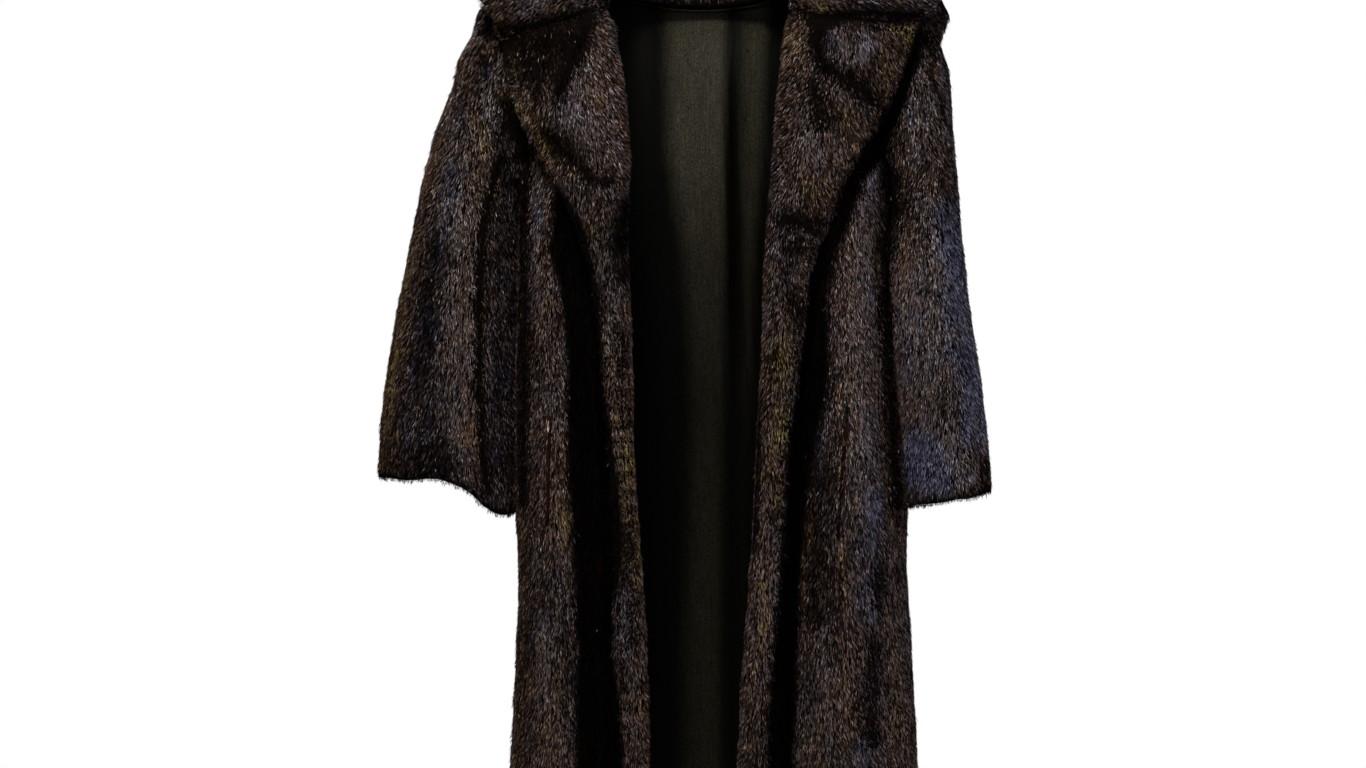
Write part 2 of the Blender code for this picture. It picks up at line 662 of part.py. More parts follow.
def sheet_object(name, rows, wall, material, closed=False, flip=False):
    """An object from a grid of points, thickened by `wall` along its normals."""
    mesh = bpy.data.meshes.new(name)
    shape = bmesh.new()
    grid = [[shape.verts.new(point) for point in row] for row in rows]
    across = len(rows[0]) if closed else len(rows[0]) - 1
    for low, high in zip(grid, grid[1:]):
        for i in range(across):
            k = (i + 1) % len(low)
            corners = [low[i], low[k], high[k], high[i]]
            shape.faces.new(corners[::-1] if flip else corners)
    shape.to_mesh(mesh)
    shape.free()
    mesh.shade_smooth()
    mesh.materials.append(material)
    piece = bpy.data.objects.new(name, mesh)
    coat.objects.link(piece)
    wall_modifier = piece.modifiers.new("wall", "SOLIDIFY")
    wall_modifier.thickness = wall
    wall_modifier.offset = 1.0
    return piece


def build_panels():
    fur = finish("dark_fur", (0.030, 0.018, 0.013), 0.55, 0.3)
    sheet_object("back", back_rows(BACK_COLUMNS, BACK_FOLDS), FUR, fur, flip=True)
    for side, name in ((LEFT, "left"), (RIGHT, "right")):
        mirrored = side == LEFT
        panel = front_rows(side, FRONT_COLUMNS, FRONT_FOLDS[side])
        sheet_object(f"front_{name}", panel, FUR, fur, flip=mirrored)
        sheet_object(f"sleeve_{name}", sleeve_rings(side), FUR, fur, closed=True, flip=mirrored)
        sheet_object(f"facing_{name}", facing_rows(side), FUR, fur, flip=mirrored)
    sheet_object("collar", collar_rows(), FUR, fur, flip=True)


def build_linings():
    satin = finish("olive_satin", (0.075, 0.068, 0.045), 0.38)
    sheet_object("lining_back", lining_back_rows(), SATIN, satin, flip=True)
    for side, name in ((LEFT, "left"), (RIGHT, "right")):
        sheet_object(f"lining_{name}", lining_front_rows(side), SATIN, satin, flip=side == LEFT)


def build_pockets():
    welt = finish("pocket_fur", (0.022, 0.014, 0.010), 0.6)
    for side, name in ((LEFT, "left"), (RIGHT, "right")):
        sheet_object(f"pocket_{name}", pocket_rows(side), WELT, welt, flip=side == LEFT)


for old in list(bpy.data.objects):
    bpy.data.objects.remove(old, do_unlink=True)
coat = bpy.data.collections.new("fur_coat")
bpy.context.scene.collection.children.link(coat)
build_panels()
build_linings()
build_pockets()
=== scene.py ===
import math
from collections import namedtuple

import bmesh
import bpy
import numpy as np
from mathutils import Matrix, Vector
from mathutils.kdtree import KDTree


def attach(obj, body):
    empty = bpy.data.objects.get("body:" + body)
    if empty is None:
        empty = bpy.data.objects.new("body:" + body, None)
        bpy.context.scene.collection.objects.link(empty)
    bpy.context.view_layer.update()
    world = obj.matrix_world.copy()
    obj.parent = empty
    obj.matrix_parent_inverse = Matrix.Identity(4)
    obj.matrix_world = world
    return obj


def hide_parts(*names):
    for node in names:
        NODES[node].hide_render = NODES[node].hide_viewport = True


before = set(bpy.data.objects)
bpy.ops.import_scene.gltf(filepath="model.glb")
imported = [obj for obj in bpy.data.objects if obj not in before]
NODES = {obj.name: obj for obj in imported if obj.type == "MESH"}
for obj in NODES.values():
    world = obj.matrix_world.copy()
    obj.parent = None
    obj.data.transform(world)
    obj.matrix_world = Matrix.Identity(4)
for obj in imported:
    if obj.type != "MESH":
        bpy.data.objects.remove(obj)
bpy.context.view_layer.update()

# Looks of a full-length dark mink coat, open down the front and filled out as on shoulders.
# Each fur panel is a skin of leather and dense underfur on its CAD solid's form, and a separate
# coat of guard hairs: one thin triangle each, scattered and combed in numpy, seeded.

HAIR_SHARE = 1.0  # of the hairs below
HAIR_LENGTH = 0.0098
HAIR_WIDTH = 0.00053
FILL_SHARE = 0.40  # of the hairs are broad, dull and low, under the fine bright ones
WIDEST = 0.60  # where along a hair it is widest
ALONG = (0.15, 0.95, 1.0)  # share of its brightness at its root, widest place and tip
ROOT_DEPTH = 0.0024  # hair roots below the CAD solid's face
BROAD = 7  # marks with at least this spread, in pixels, shape the skins and not only the hairs
DEEPEST = 0.0028  # furrow of a broad mark
SHALLOW = 0.0008  # furrow of a narrow one
HIGHEST = 0.0050  # ridge of either
SLIT_HALF = 0.0009  # half of a pocket slit's width, which has no hairs
SEAM_GROWTH = 0.0018  # of the skins' rims, so that no light comes through the seams
EDGE_GROWTH = 0.0004  # of the facings' rims, which are mostly free edges
SKIN_DEPTH = 0.0020  # the underfur's surface below the CAD solid's face
WELT_SUNK = 0.0035  # the pocket welts lie this much deeper than the CAD's, down in the fur
LIFT = 11.5  # degrees that a hair stands off the skin
LOCK = (0.0031, 0.0031, 0.0080)  # size of a lock of hairs, by axis
LOCK_PULL = 0.35  # how strongly a lock draws its hairs together
LOCK_TURN = 22  # degrees by which locks differ in heading
BROAD_HAIR = {"length": 1.15, "width": 1.75, "lift": -4, "bright": 0.20}
FINE_HAIR = {"length": 0.80, "width": 0.74, "lift": 5, "bright": 1.30}
MEAN_TONE = 0.44  # place on the ramp of tones
PELT_WIDTH = 0.047
GLOSSY_SHARE = 0.50  # of the fine hairs where no shade or light is painted; fewer in painted shade, more in painted light
RIM_BRIGHT = 0.45  # brightness of the hairs on the rims
WHITE_SPOT_SHIFT = 1.0  # only the small near-white spot at the top of the left pocket slit changes the tone by more than this
WHITE_SPOT_TONE = 0.99

HAIRS = {
    "back": 172000,
    "front_left": 146000,
    "front_right": 160000,
    "sleeve_left": 112000,
    "sleeve_right": 112000,
    "facing_left": 62000,
    "facing_right": 64000,
    "collar": 56000,
}

RIM_HAIRS = {
    "back": 4000,
    "front_left": 2500,
    "front_right": 2500,
    "sleeve_left": 3000,
    "sleeve_right": 3000,
    "facing_left": 4000,
    "facing_right": 4000,
    "collar": 7000,
}

CUFF_TOP = -0.500  # the sleeves' rims below this are the cuffs
HEM_TOP = -1.150  # the body panels' rims below this are the hem

NECK = np.array((-0.010, 0.030))  # centre of the neck, from above

# Where the fur ends at the opening, by height: the left and the right edge, and where the lapel or
# rolled facing ends on the panel.
OPENING = np.array((
    (-1.170, -0.062, 0.0220, -0.0940, 0.0590),
    (-0.880, -0.065, 0.0260, -0.0970, 0.0620),
    (-0.760, -0.066, 0.0310, -0.1000, 0.0660),
    (-0.690, -0.070, 0.0380, -0.1060, 0.0765),
    (-0.600, -0.077, 0.0430, -0.1060, 0.0800),
    (-0.520, -0.082, 0.0470, -0.1150, 0.0830),
    (-0.470, -0.083, 0.0500, -0.1130, 0.0890),
    (-0.400, -0.083, 0.0540, -0.1250, 0.0980),
    (-0.330, -0.087, 0.0555, -0.1300, 0.1050),
    (-0.290, -0.092, 0.0570, -0.1430, 0.1120),
    (-0.240, -0.087, 0.0630, -0.1640, 0.1380),
    (-0.200, -0.086, 0.0660, -0.1850, 0.1560),
    (-0.165, -0.088, 0.0690, -0.2070, 0.1740),
    (-0.125, -0.090, 0.0710, -0.2270, 0.2000),
    (-0.085, -0.098, 0.0740, -0.2330, 0.2200),
    (-0.045, -0.110, 0.0790, -0.2330, 0.2310),
))

PX = 0.00112  # metres for a pixel of the photograph, at the coat's front
MIDDLE = 683  # the photograph's middle column
CAMERA = (-0.031, -2.90, -0.452)
LENS = 65.9  # for a sensor 36 mm wide
TOP_Z = -0.022  # height of the photograph's top edge, at the coat's front


def at(across, down):
    """The place, as x and z, of a point seen in the photograph on the coat's front."""
    return (across - MIDDLE) * PX + CAMERA[0], TOP_Z - down * PX


# The deep folds beside the lapels and front edges, where the fur is painted almost black as shade:
# row, left edge and right edge, in pixels.
TROUGH_LEFT = (
    (185, 556, 562), (200, 556, 572), (230, 552, 586), (245, 549, 590), (262, 556, 594),
    (290, 563, 597), (330, 567, 601), (384, 568, 604), (430, 569, 612), (500, 570, 621),
    (560, 575, 621), (600, 577, 614), (650, 578, 614), (700, 577, 621), (768, 577, 626),
    (1020, 580, 634),
)
TROUGH_RIGHT = (
    (20, 918, 924), (50, 911, 919), (80, 899, 911), (100, 893, 905), (120, 884, 896),
    (130, 872, 888), (150, 860, 884), (175, 848, 862), (200, 838, 856), (225, 829, 846),
    (250, 818, 834), (275, 811, 829), (300, 808, 826), (340, 803, 828), (384, 798, 828),
    (430, 790, 818), (470, 786, 811), (500, 784, 807), (550, 780, 802), (600, 776, 799),
    (650, 772, 797), (700, 769, 794), (768, 766, 790), (1020, 760, 782),
)

CUFFS = {  # how far the cuffs' edges hang lower than the CAD's, in pixels, from left to right
    "sleeve_left": ((370, 4), (402, 5), (418, 2), (434, -4), (466, -3), (474, 2), (482, 7),
                    (490, 8), (498, 7), (506, 2), (514, -5)),
    "sleeve_right": ((904, -5), (920, -8), (932, -7), (944, -5), (956, -5), (968, -2), (990, -3)),
}
SHOULDERS = np.array((  # height, and how much wider the left and right shoulders are, in pixels
    (-0.156, 0, 0), (-0.123, -4, 3), (-0.089, -5, 3), (-0.076, -1, 5), (-0.067, 1, 4),
    (-0.058, 1, 3), (-0.049, -2, 2), (-0.040, -3, 2), (-0.031, 8, 12), (-0.022, 8, 24),
    (0.000, 8, 24),
))
SHOULDER_REACH = (0.13, 0.24)  # distance from the middle over which SHOULDERS takes hold
CUFF_REACH = (0.490, 0.545)  # depth below the shoulders over which CUFFS takes hold
SLITS = {  # the pockets' openings
    "front_left": ((550, 416), (549, 470), (548, 526)),
    "front_right": ((847, 398), (845, 430), (842, 470), (841, 500), (838, 532)),
}

# Marks on the fur: soft creases, ridges and changes of colour. Each has a spread in
# pixels, how much it darkens (or lights, below 0), its change of tone, its relief in millimetres,
# and its line.
# A mark's darkening is painted shade in creases, folds and under edges; below 0 it is painted light
# on ridges and rolls.
Mark = namedtuple("Mark", "spread dark tone relief line")
MARKS = {
    "sleeve_left": (
        Mark(9, -0.22, 0.12, 0, ((470, 25), (447, 100), (425, 180))),
        Mark(8, -0.15, 0.34, 0, ((413, 230), (402, 290), (392, 340), (385, 400), (380, 465))),
        Mark(12, 0.42, -0.16, -1.5, ((433, 235), (430, 300), (424, 350), (422, 400), (428, 460))),
        Mark(12, -1.05, 0.04, 2.5, ((462, 205), (461, 300), (463, 384), (466, 430))),
        Mark(5, -0.30, -0.05, 0, ((456, 432), (468, 478))),
        Mark(15, 0.42, 0.05, 0, ((385, 462), (430, 462))),
        Mark(3, 0.85, 0, -2.5, ((498, 150), (487, 185), (480, 230), (477, 290), (477, 384),
                                (480, 440), (484, 490))),
        Mark(14, 0.40, -0.12, 0, ((508, 115), (507, 170), (503, 230), (501, 300), (502, 470))),
        Mark(4, 0.60, 0, 0, ((519, 190), (520, 300), (520, 480))),
        Mark(4, -0.20, 0.30, 0, ((501, 469),)),
        Mark(4, 0.75, -0.20, -1.5, ((483, 48), (484, 66))),
        Mark(8, -0.30, 0.10, 1.5, ((482, 100), (485, 140), (477, 178))),
        Mark(9, -0.25, -0.14, 0, ((491, 62), (492, 95))),
        Mark(5.5, 0.80, 0, 0, ((503, 95), (515, 122), (520, 148))),
        Mark(10, -0.10, -0.16, 0, ((455, 110), (452, 200))),
    ),
    "front_left": (
        Mark(5.5, 0.80, -0.05, 0, ((503, 95), (515, 122), (522, 148))),
        Mark(4, 0.75, 0, -2.0, ((524, 150), (524, 250), (524, 384), (524, 470), (521, 500))),
        Mark(3.5, 0.60, 0, 0, ((518, 190), (518, 300), (518, 480))),
        Mark(9, -0.24, 0, 2.5, ((538, 160), (540, 250), (545, 350), (549, 400), (555, 450),
                                (557, 550), (553, 620), (550, 700), (550, 768), (548, 1020))),
        Mark(8, -0.10, -0.14, 0, ((541, 150), (540, 215))),
        Mark(6, -0.10, 0.30, 0, ((560, 440), (564, 540))),
        Mark(8, 0.25, 0.14, 0, ((524, 540), (520, 640), (517, 768), (514, 900))),
        Mark(5, -0.55, -0.12, 0, ((542, 625), (546, 660), (547, 692))),
        Mark(9, 0, 0.12, 0, ((538, 440), (530, 520))),
        Mark(3.2, 0, 0.14, 0, SLITS["front_left"]),
        Mark(1.1, 0.85, 0, 0, SLITS["front_left"]),
        # A small near-white spot at the top of the slit, also made much lighter.
        Mark(1.2, -2.50, 1.80, 0, ((550, 415), (548, 424))),
        Mark(10, -0.20, -0.18, 0, ((556, 800), (552, 900))),
        Mark(7, 0.45, 0, -2.0, ((531, 820), (527, 920), (524, 1020))),
    ),
    "facing_left": (
        Mark(7, 0.97, 0, -2.5, ((494, 37), (508, 36))),
        Mark(15, 0.72, 0.12, 0, ((512, 42), (570, 38))),
        Mark(13, 0.66, 0.12, 0, ((524, 68), (552, 68))),
        Mark(5, 0.93, 0, -2.5, ((586, 26), (576, 50), (569, 70), (560, 90))),
        Mark(12, -0.56, 0.06, 4.0, ((602, 30), (594, 60), (586, 90), (583, 115))),
        Mark(16, 0.38, 0.04, 0, ((585, 215), (600, 290))),
        Mark(13, -0.40, 0.12, 0, ((616, 350), (620, 490))),
        Mark(8, -0.20, -0.18, 0, ((582, 70), (578, 112))),
        Mark(12, -0.18, -0.10, 1.5, ((592, 125), (606, 155), (612, 185))),
        Mark(7, -0.25, 0.26, 1.5, ((512, 92), (528, 112), (548, 140), (566, 160))),
        Mark(8, 0.90, 0.15, -2.5, ((550, 130), (565, 148), (573, 157))),
        Mark(6, 0.80, 0, -1.5, ((588, 174), (606, 180))),
        Mark(5, -0.30, 0.16, 0, ((578, 195),)),
        Mark(4, -0.40, 0.34, 0, ((573, 172),)),
        Mark(9, 0.93, 0, -2.5, ((626, 205), (620, 228), (620, 246))),
        Mark(6, 0.80, 0, 0, ((622, 268), (622, 274))),
        Mark(8, -0.25, 0, 0, ((600, 250), (612, 256))),
        Mark(5, -0.30, -0.15, 0, ((603, 275), (612, 300))),
        Mark(6, -0.20, 0.28, 0, ((627, 445), (629, 482))),
        Mark(4, -0.35, 0.46, 0, ((626, 494), (628, 516))),
        Mark(6, -0.20, 0.30, 0, ((634, 528), (637, 580))),
        Mark(5, 0.50, 0.14, 0, ((621, 530), (621, 575))),
        Mark(9, -0.25, -0.14, 0, ((630, 605), (624, 648))),
        Mark(4, -0.30, -0.45, 0, ((651, 644), (652, 662))),
        Mark(8, 0, 0.15, 0, ((640, 690), (643, 768), (645, 900))),
        Mark(5, 0.60, 0, 0, ((614, 664), (618, 690))),
        Mark(5, 0.70, 0, -1.5, ((606, 445), (612, 480))),
    ),
    "front_right": (
        Mark(13, -0.68, -0.08, 2.5, ((868, 165), (866, 200), (862, 250), (858, 300), (858, 350),
                                     (862, 400), (864, 450), (868, 500))),
        Mark(5, -0.40, -0.16, 0, ((871, 162), (868, 198))),
        Mark(5, 0.82, 0, -2.5, ((893, 160), (899, 195), (896, 235), (890, 270), (888, 300),
                                (889, 340), (891, 384), (894, 430), (897, 480), (901, 503))),
        Mark(9, 0.50, 0.14, 0, ((893, 175), (892, 240))),
        Mark(10, 0.58, 0.08, 0, ((823, 455), (818, 540), (814, 610))),
        Mark(5, 0, 0.18, 0, ((838, 384), (838, 470))),
        Mark(3.2, 0, 0.14, 0, SLITS["front_right"]),
        Mark(1.1, 0.85, 0, 0, SLITS["front_right"]),
        Mark(3.2, -0.60, 0.50, 0, ((839, 538), (838, 552))),
        Mark(4, -0.20, 0.30, 0, ((842, 560), (843, 600))),
        Mark(8, 0, 0.14, 0, ((842, 630), (842, 900))),
        Mark(8, -0.45, -0.28, 0, ((876, 494), (879, 526))),
        Mark(9, -0.20, -0.28, 0, ((868, 545), (866, 605))),
        Mark(6, 0.50, 0, -1.0, ((881, 572), (878, 600))),
        Mark(6, 0.55, 0, -1.0, ((874, 645), (872, 690))),
        Mark(6, 0.68, 0, -1.5, ((867, 700), (872, 738))),
        Mark(8, -0.25, -0.34, 0, ((858, 735), (860, 790))),
        Mark(7, 0, 0.13, 0, ((903, 650), (907, 900))),
        Mark(10, -0.25, 0, 2.0, ((830, 660), (828, 768), (826, 1020))),
        Mark(7, 0.45, 0, -2.0, ((874, 820), (880, 920), (884, 1020))),
    ),
    "sleeve_right": (
        Mark(5, 0.80, 0, -2.0, ((893, 160), (899, 195), (896, 235), (890, 270), (891, 384),
                                (894, 430), (897, 480), (901, 503))),
        Mark(9, -0.20, 0.30, 0, ((913, 225), (909, 262), (904, 290))),
        Mark(6, 0, 0.28, 0, ((901, 384), (904, 440))),
        Mark(10, 0, 0.13, 0, ((896, 120), (902, 165))),
        Mark(6, 0.45, 0.06, 0, ((903, 170), (904, 205))),
        # Painted light of a bluish light from the right: the sleeve's outer part is lighter and
        # bluer.
        Mark(26, -0.78, -0.14, 0, ((912, 260), (922, 384), (930, 470))),
        Mark(12, -0.55, -0.42, 0, ((946, 205), (952, 250), (957, 290), (964, 330), (972, 384),
                                   (978, 430))),
        Mark(16, -0.30, -0.42, 0, ((925, 445), (940, 485))),
        Mark(5, 0.30, 0.16, 0, ((905, 494), (985, 488))),
        Mark(5, 0.55, 0, 0, ((986, 455), (984, 485))),
        Mark(2, 0.65, 0, -1.0, ((930, 62), (940, 88), (948, 117))),
        Mark(10, -0.25, -0.18, 0, ((916, 60), (917, 115))),
        Mark(6, -0.15, 0.10, 0, ((935, 130), (938, 180))),
    ),
    "facing_right": (
        Mark(8, -0.20, 0.48, 0, ((806, 4), (822, 12))),
        Mark(4, 0.93, 0, -2.5, ((819, 24), (840, 13), (866, 9), (917, 8))),
        Mark(5, 0.96, 0, -2.8, ((823, 18), (818, 38), (820, 58), (826, 67))),
        Mark(6, 0.80, 0, -2.5, ((826, 68), (845, 76), (862, 88), (873, 97))),
        Mark(11, -0.60, -0.22, 3.0, ((836, 38), (858, 40), (870, 45))),
        Mark(4, -0.60, -0.05, 0, ((868, 40), (859, 53))),
        Mark(12, 0.28, 0.14, 0, ((888, 42), (878, 78))),
        Mark(6, -0.15, 0.30, 0, ((894, 18), (906, 28))),
        Mark(4, -0.35, 0.42, 0, ((911, 22), (914, 34))),
        Mark(6, 0.70, 0, -2.0, ((815, 88), (822, 122))),
        Mark(12, 0.16, 0.22, 0, ((838, 110), (858, 135))),
        Mark(4, 0.55, 0, 0, ((832, 115),)),
        Mark(10, 0, 0.16, 0, ((785, 40), (783, 130))),
        Mark(6, -0.15, 0.30, 0, ((794, 28), (796, 46))),
        Mark(7, -0.50, -0.20, 1.5, ((809, 138), (813, 168))),
        Mark(10, 0.18, 0.18, 0, ((818, 182), (822, 210))),
        Mark(6, 0.92, 0, -2.5, ((786, 217), (808, 222))),
        Mark(8, 0.75, 0.15, 0, ((794, 240), (797, 250))),
        Mark(7, -0.10, 0.25, 0, ((802, 265), (803, 280))),
        Mark(7, 0.65, 0, -1.0, ((790, 290), (800, 312))),
        Mark(5, -0.60, -0.20, 0, ((763, 298), (762, 325))),
        Mark(7, -0.10, 0.30, 0, ((785, 345), (777, 378))),
        Mark(5, -0.35, 0.44, 0, ((781, 416), (781, 438))),
        Mark(12, 0.14, 0.26, 0, ((778, 340), (777, 490))),
        Mark(7, 0, 0.15, 0, ((775, 478), (774, 512))),
        Mark(3.5, -0.10, -0.24, 0, ((756, 384), (752, 470), (749, 545))),
        Mark(1.8, 0.80, 0.10, -1.5, ((761, 395), (758, 470), (755, 545))),
        Mark(8, -0.20, 0.32, 0, ((765, 560), (762, 600), (760, 645))),
        Mark(4, -0.10, -0.38, 0, ((779, 558), (777, 602))),
        Mark(7, 0, 0.24, 0, ((752, 664), (751, 692))),
        Mark(9, 0, 0.12, 0, ((748, 700), (745, 900))),
    ),
    "collar": (
        Mark(12, 0.10, 0.18, 0, ((484, 4), (506, 20))),
        Mark(5, 0.85, 0, -1.5, ((502, 22), (530, 20), (585, 16))),
        Mark(5, -0.20, 0.36, 0, ((551, 3), (562, 7))),
        Mark(9, -0.20, -0.08, 0, ((528, 8), (548, 2))),
        Mark(9, -0.20, 0.46, 0, ((806, 4), (822, 12))),
        Mark(4, 0.90, 0, -1.5, ((819, 24), (840, 13), (866, 9), (917, 8))),
    ),
    "back": (
        Mark(10, 0.70, -0.06, -2.5, ((566, 190), (560, 330), (552, 520), (548, 760), (546, 1020))),
        Mark(11, 0.65, 0, -2.5, ((640, 250), (645, 420), (638, 620), (642, 820), (640, 1020))),
        Mark(9, 0.70, 0, -2.5, ((724, 210), (720, 400), (728, 640), (726, 1020))),
        Mark(10, 0.70, 0.05, -2.5, ((820, 180), (826, 340), (836, 560), (838, 800), (842, 1020))),
        Mark(14, -0.55, -0.08, 3.0, ((602, 200), (600, 420), (594, 700), (592, 1020))),
        Mark(14, -0.45, 0.06, 3.0, ((684, 200), (682, 420), (684, 700), (682, 1020))),
        Mark(14, -0.55, -0.12, 3.0, ((772, 200), (776, 420), (782, 700), (786, 1020))),
        Mark(9, -0.10, 0.26, 0, ((530, 420), (524, 700))),
        Mark(9, -0.10, 0.22, 0, ((700, 500), (706, 640))),
        Mark(10, -0.15, -0.30, 0, ((860, 300), (872, 480))),
        Mark(9, 0, 0.20, 0, ((760, 640), (752, 800))),
        Mark(8, 0.40, 0, -1.5, ((596, 120), (640, 150), (700, 158), (760, 148), (800, 118))),
    ),
}


# ---- camera ----
def make_camera():
    data = bpy.data.cameras.new("camera")
    data.sensor_width = 36.0
    data.lens = LENS
    camera = bpy.data.objects.new("camera", data)
    camera.location = CAMERA
    camera.rotation_euler = (math.radians(90), 0, 0)
    bpy.context.scene.collection.objects.link(camera)
    bpy.context.scene.camera = camera


make_camera()


# ---- noise ----
def lattice(ix, iy, iz, seed):
    """A repeatable number from 0 to 1 for each whole point of a grid."""
    mixed = (ix * 73856093) ^ (iy * 19349663) ^ (iz * 83492791) ^ (seed * 40503 + 977)
    mixed &= 0xFFFFFFFF
    mixed = ((mixed ^ (mixed >> 15)) * 0x2C1B3C6D) & 0xFFFFFFFF
    mixed = ((mixed ^ (mixed >> 12)) * 0x297A2D39) & 0xFFFFFFFF
    return ((mixed ^ (mixed >> 15)) & 0xFFFF) / 65535.0


def noise(points, wavelength, seed):
    """Smooth noise from -1 to 1; the wavelength may differ by axis."""
    scaled = points / (np.asarray(wavelength) * 0.5)
    low = np.floor(scaled).astype(np.int64)
    t = scaled - low
    t = t * t * (3 - 2 * t)
    total = np.zeros(len(points))
    for dx in (0, 1):
        for dy in (0, 1):
            for dz in (0, 1):
                weight = (
                    np.where(dx, t[:, 0], 1 - t[:, 0])
                    * np.where(dy, t[:, 1], 1 - t[:, 1])
                    * np.where(dz, t[:, 2], 1 - t[:, 2])
                )
                total += weight * lattice(low[:, 0] + dx, low[:, 1] + dy, low[:, 2] + dz, seed)
    return total * 2 - 1


def clumps(points, size, seed):
    """The lock that each hair belongs to: its centre, and a repeatable number for it."""
    size = np.asarray(size)
    scaled = points / size
    home = np.floor(scaled).astype(np.int64)
    nearest = np.full(len(points), 1e9)
    centre = np.zeros_like(points)
    mark = np.zeros(len(points))
    for dx in (-1, 0, 1):
        for dy in (-1, 0, 1):
            for dz in (-1, 0, 1):
                cell = home + (dx, dy, dz)
                spot = np.stack(
                    [lattice(cell[:, 0], cell[:, 1], cell[:, 2], seed + k) for k in range(3)], 1
                ) + cell
                far = ((scaled - spot) ** 2).sum(1)
                closer = far < nearest
                nearest[closer] = far[closer]
                centre[closer] = spot[closer]
                own = lattice(cell[:, 0], cell[:, 1], cell[:, 2], seed + 7)
                mark[closer] = own[closer]
    return centre * size, mark


def unit(vectors):
    return vectors / np.maximum(np.linalg.norm(vectors, axis=1, keepdims=True), 1e-9)


def ramp(value, start, end):
    t = np.clip((value - start) / (end - start), 0.0, 1.0)
    return t * t * (3 - 2 * t)


# ---- materials ----
def new_material(name):
    material = bpy.data.materials.new(name)
    material.use_nodes = True
    nodes = material.node_tree.nodes
    return material, nodes, material.node_tree.links, nodes["Principled BSDF"]


def tinted(nodes, links, value, stops):
    """The colour that a ramp of (place, colour) stops gives to a value."""
    node = nodes.new("ShaderNodeValToRGB")
    elements = node.color_ramp.elements
    for _ in range(len(stops) - 2):
        elements.new(0.5)
    for element, (place, _) in zip(elements, stops):
        element.position = place
    for element, (_, colour) in zip(elements, stops):
        element.color = (*colour, 1.0)
    links.new(value, node.inputs["Fac"])
    return node.outputs["Color"]


def multiplied(nodes, links, first, second):
    node = nodes.new("ShaderNodeMix")
    node.data_type = "RGBA"
    node.blend_type = "MULTIPLY"
    node.inputs["Factor"].default_value = 1.0
    links.new(first, node.inputs["A"])
    links.new(second, node.inputs["B"])
    return node.outputs["Result"]


def grain(nodes, links, detail, scale=5.0, stretch=None):
    """Noise in the piece's own space, finer by scale, and by axis where it is stretched."""
    place = nodes.new("ShaderNodeTexCoord").outputs["Object"]
    if stretch:
        mapping = nodes.new("ShaderNodeMapping")
        mapping.inputs["Scale"].default_value = stretch
        links.new(place, mapping.inputs["Vector"])
        place = mapping.outputs["Vector"]
    node = nodes.new("ShaderNodeTexNoise")
    node.inputs["Scale"].default_value = scale
    node.inputs["Detail"].default_value = detail
    links.new(place, node.inputs["Vector"])
    return node.outputs["Fac"]


def emboss(nodes, links, shader, height, strength, distance):
    bump = nodes.new("ShaderNodeBump")
    bump.inputs["Strength"].default_value = strength
    bump.inputs["Distance"].default_value = distance
    links.new(height, bump.inputs["Height"])
    links.new(bump.outputs["Normal"], shader.inputs["Normal"])


def finish(links, shader, colour, roughness, specular):
    links.new(colour, shader.inputs["Base Color"])
    shader.inputs["Roughness"].default_value = roughness
    shader.inputs["Specular IOR Level"].default_value = specular


TONES = (  # hair tips, from blue-grey through brown to yellow
    (0.00, (0.125, 0.122, 0.200)),
    (0.14, (0.172, 0.146, 0.188)),
    (0.28, (0.200, 0.140, 0.140)),
    (0.42, (0.186, 0.130, 0.108)),
    (0.56, (0.216, 0.116, 0.086)),
    (0.70, (0.256, 0.160, 0.100)),
    (0.84, (0.322, 0.198, 0.086)),
    (0.94, (0.420, 0.300, 0.095)),
    (1.00, (0.800, 0.780, 0.700)),
)
ROOT_TO_TIP = (  # share of the tip's colour along a hair
    (0.00, (0.002, 0.002, 0.002)),
    (0.08, (0.02, 0.02, 0.02)),
    (0.20, (0.07, 0.07, 0.07)),
    (0.50, (0.32, 0.32, 0.32)),
    (1.00, (1.00, 1.00, 1.00)),
)


def hair_material(name, roughness, specular):
    """Hair whose UV map holds its tone, across, and its brightness along it, upward."""
    material, nodes, links, shader = new_material(name)
    uv = nodes.new("ShaderNodeUVMap")
    uv.uv_map = "OFBake"
    split = nodes.new("ShaderNodeSeparateXYZ")
    links.new(uv.outputs["UV"], split.inputs["Vector"])
    tone = tinted(nodes, links, split.outputs["X"], TONES)
    along = tinted(nodes, links, split.outputs["Y"], ROOT_TO_TIP)
    finish(links, shader, multiplied(nodes, links, tone, along), roughness, specular)
    return material


def skin_material():
    material, nodes, links, shader = new_material("underfur")
    fibres = grain(nodes, links, 3, stretch=(420, 420, 90))
    colour = tinted(nodes, links, fibres, (
        (0.30, (0.0006, 0.0005, 0.0005)),
        (0.70, (0.0030, 0.0021, 0.0018)),
    ))
    finish(links, shader, colour, 0.9, 0.0)
    emboss(nodes, links, shader, fibres, 0.6, 0.001)
    return material


def leather_material():
    material, nodes, links, shader = new_material("suede")
    nap = grain(nodes, links, 4, scale=900)
    colour = tinted(nodes, links, nap, (
        (0.30, (0.0070, 0.0052, 0.0040)),
        (0.70, (0.0140, 0.0105, 0.0080)),
    ))
    finish(links, shader, colour, 0.85, 0.05)
    emboss(nodes, links, shader, nap, 0.3, 0.0005)
    return material


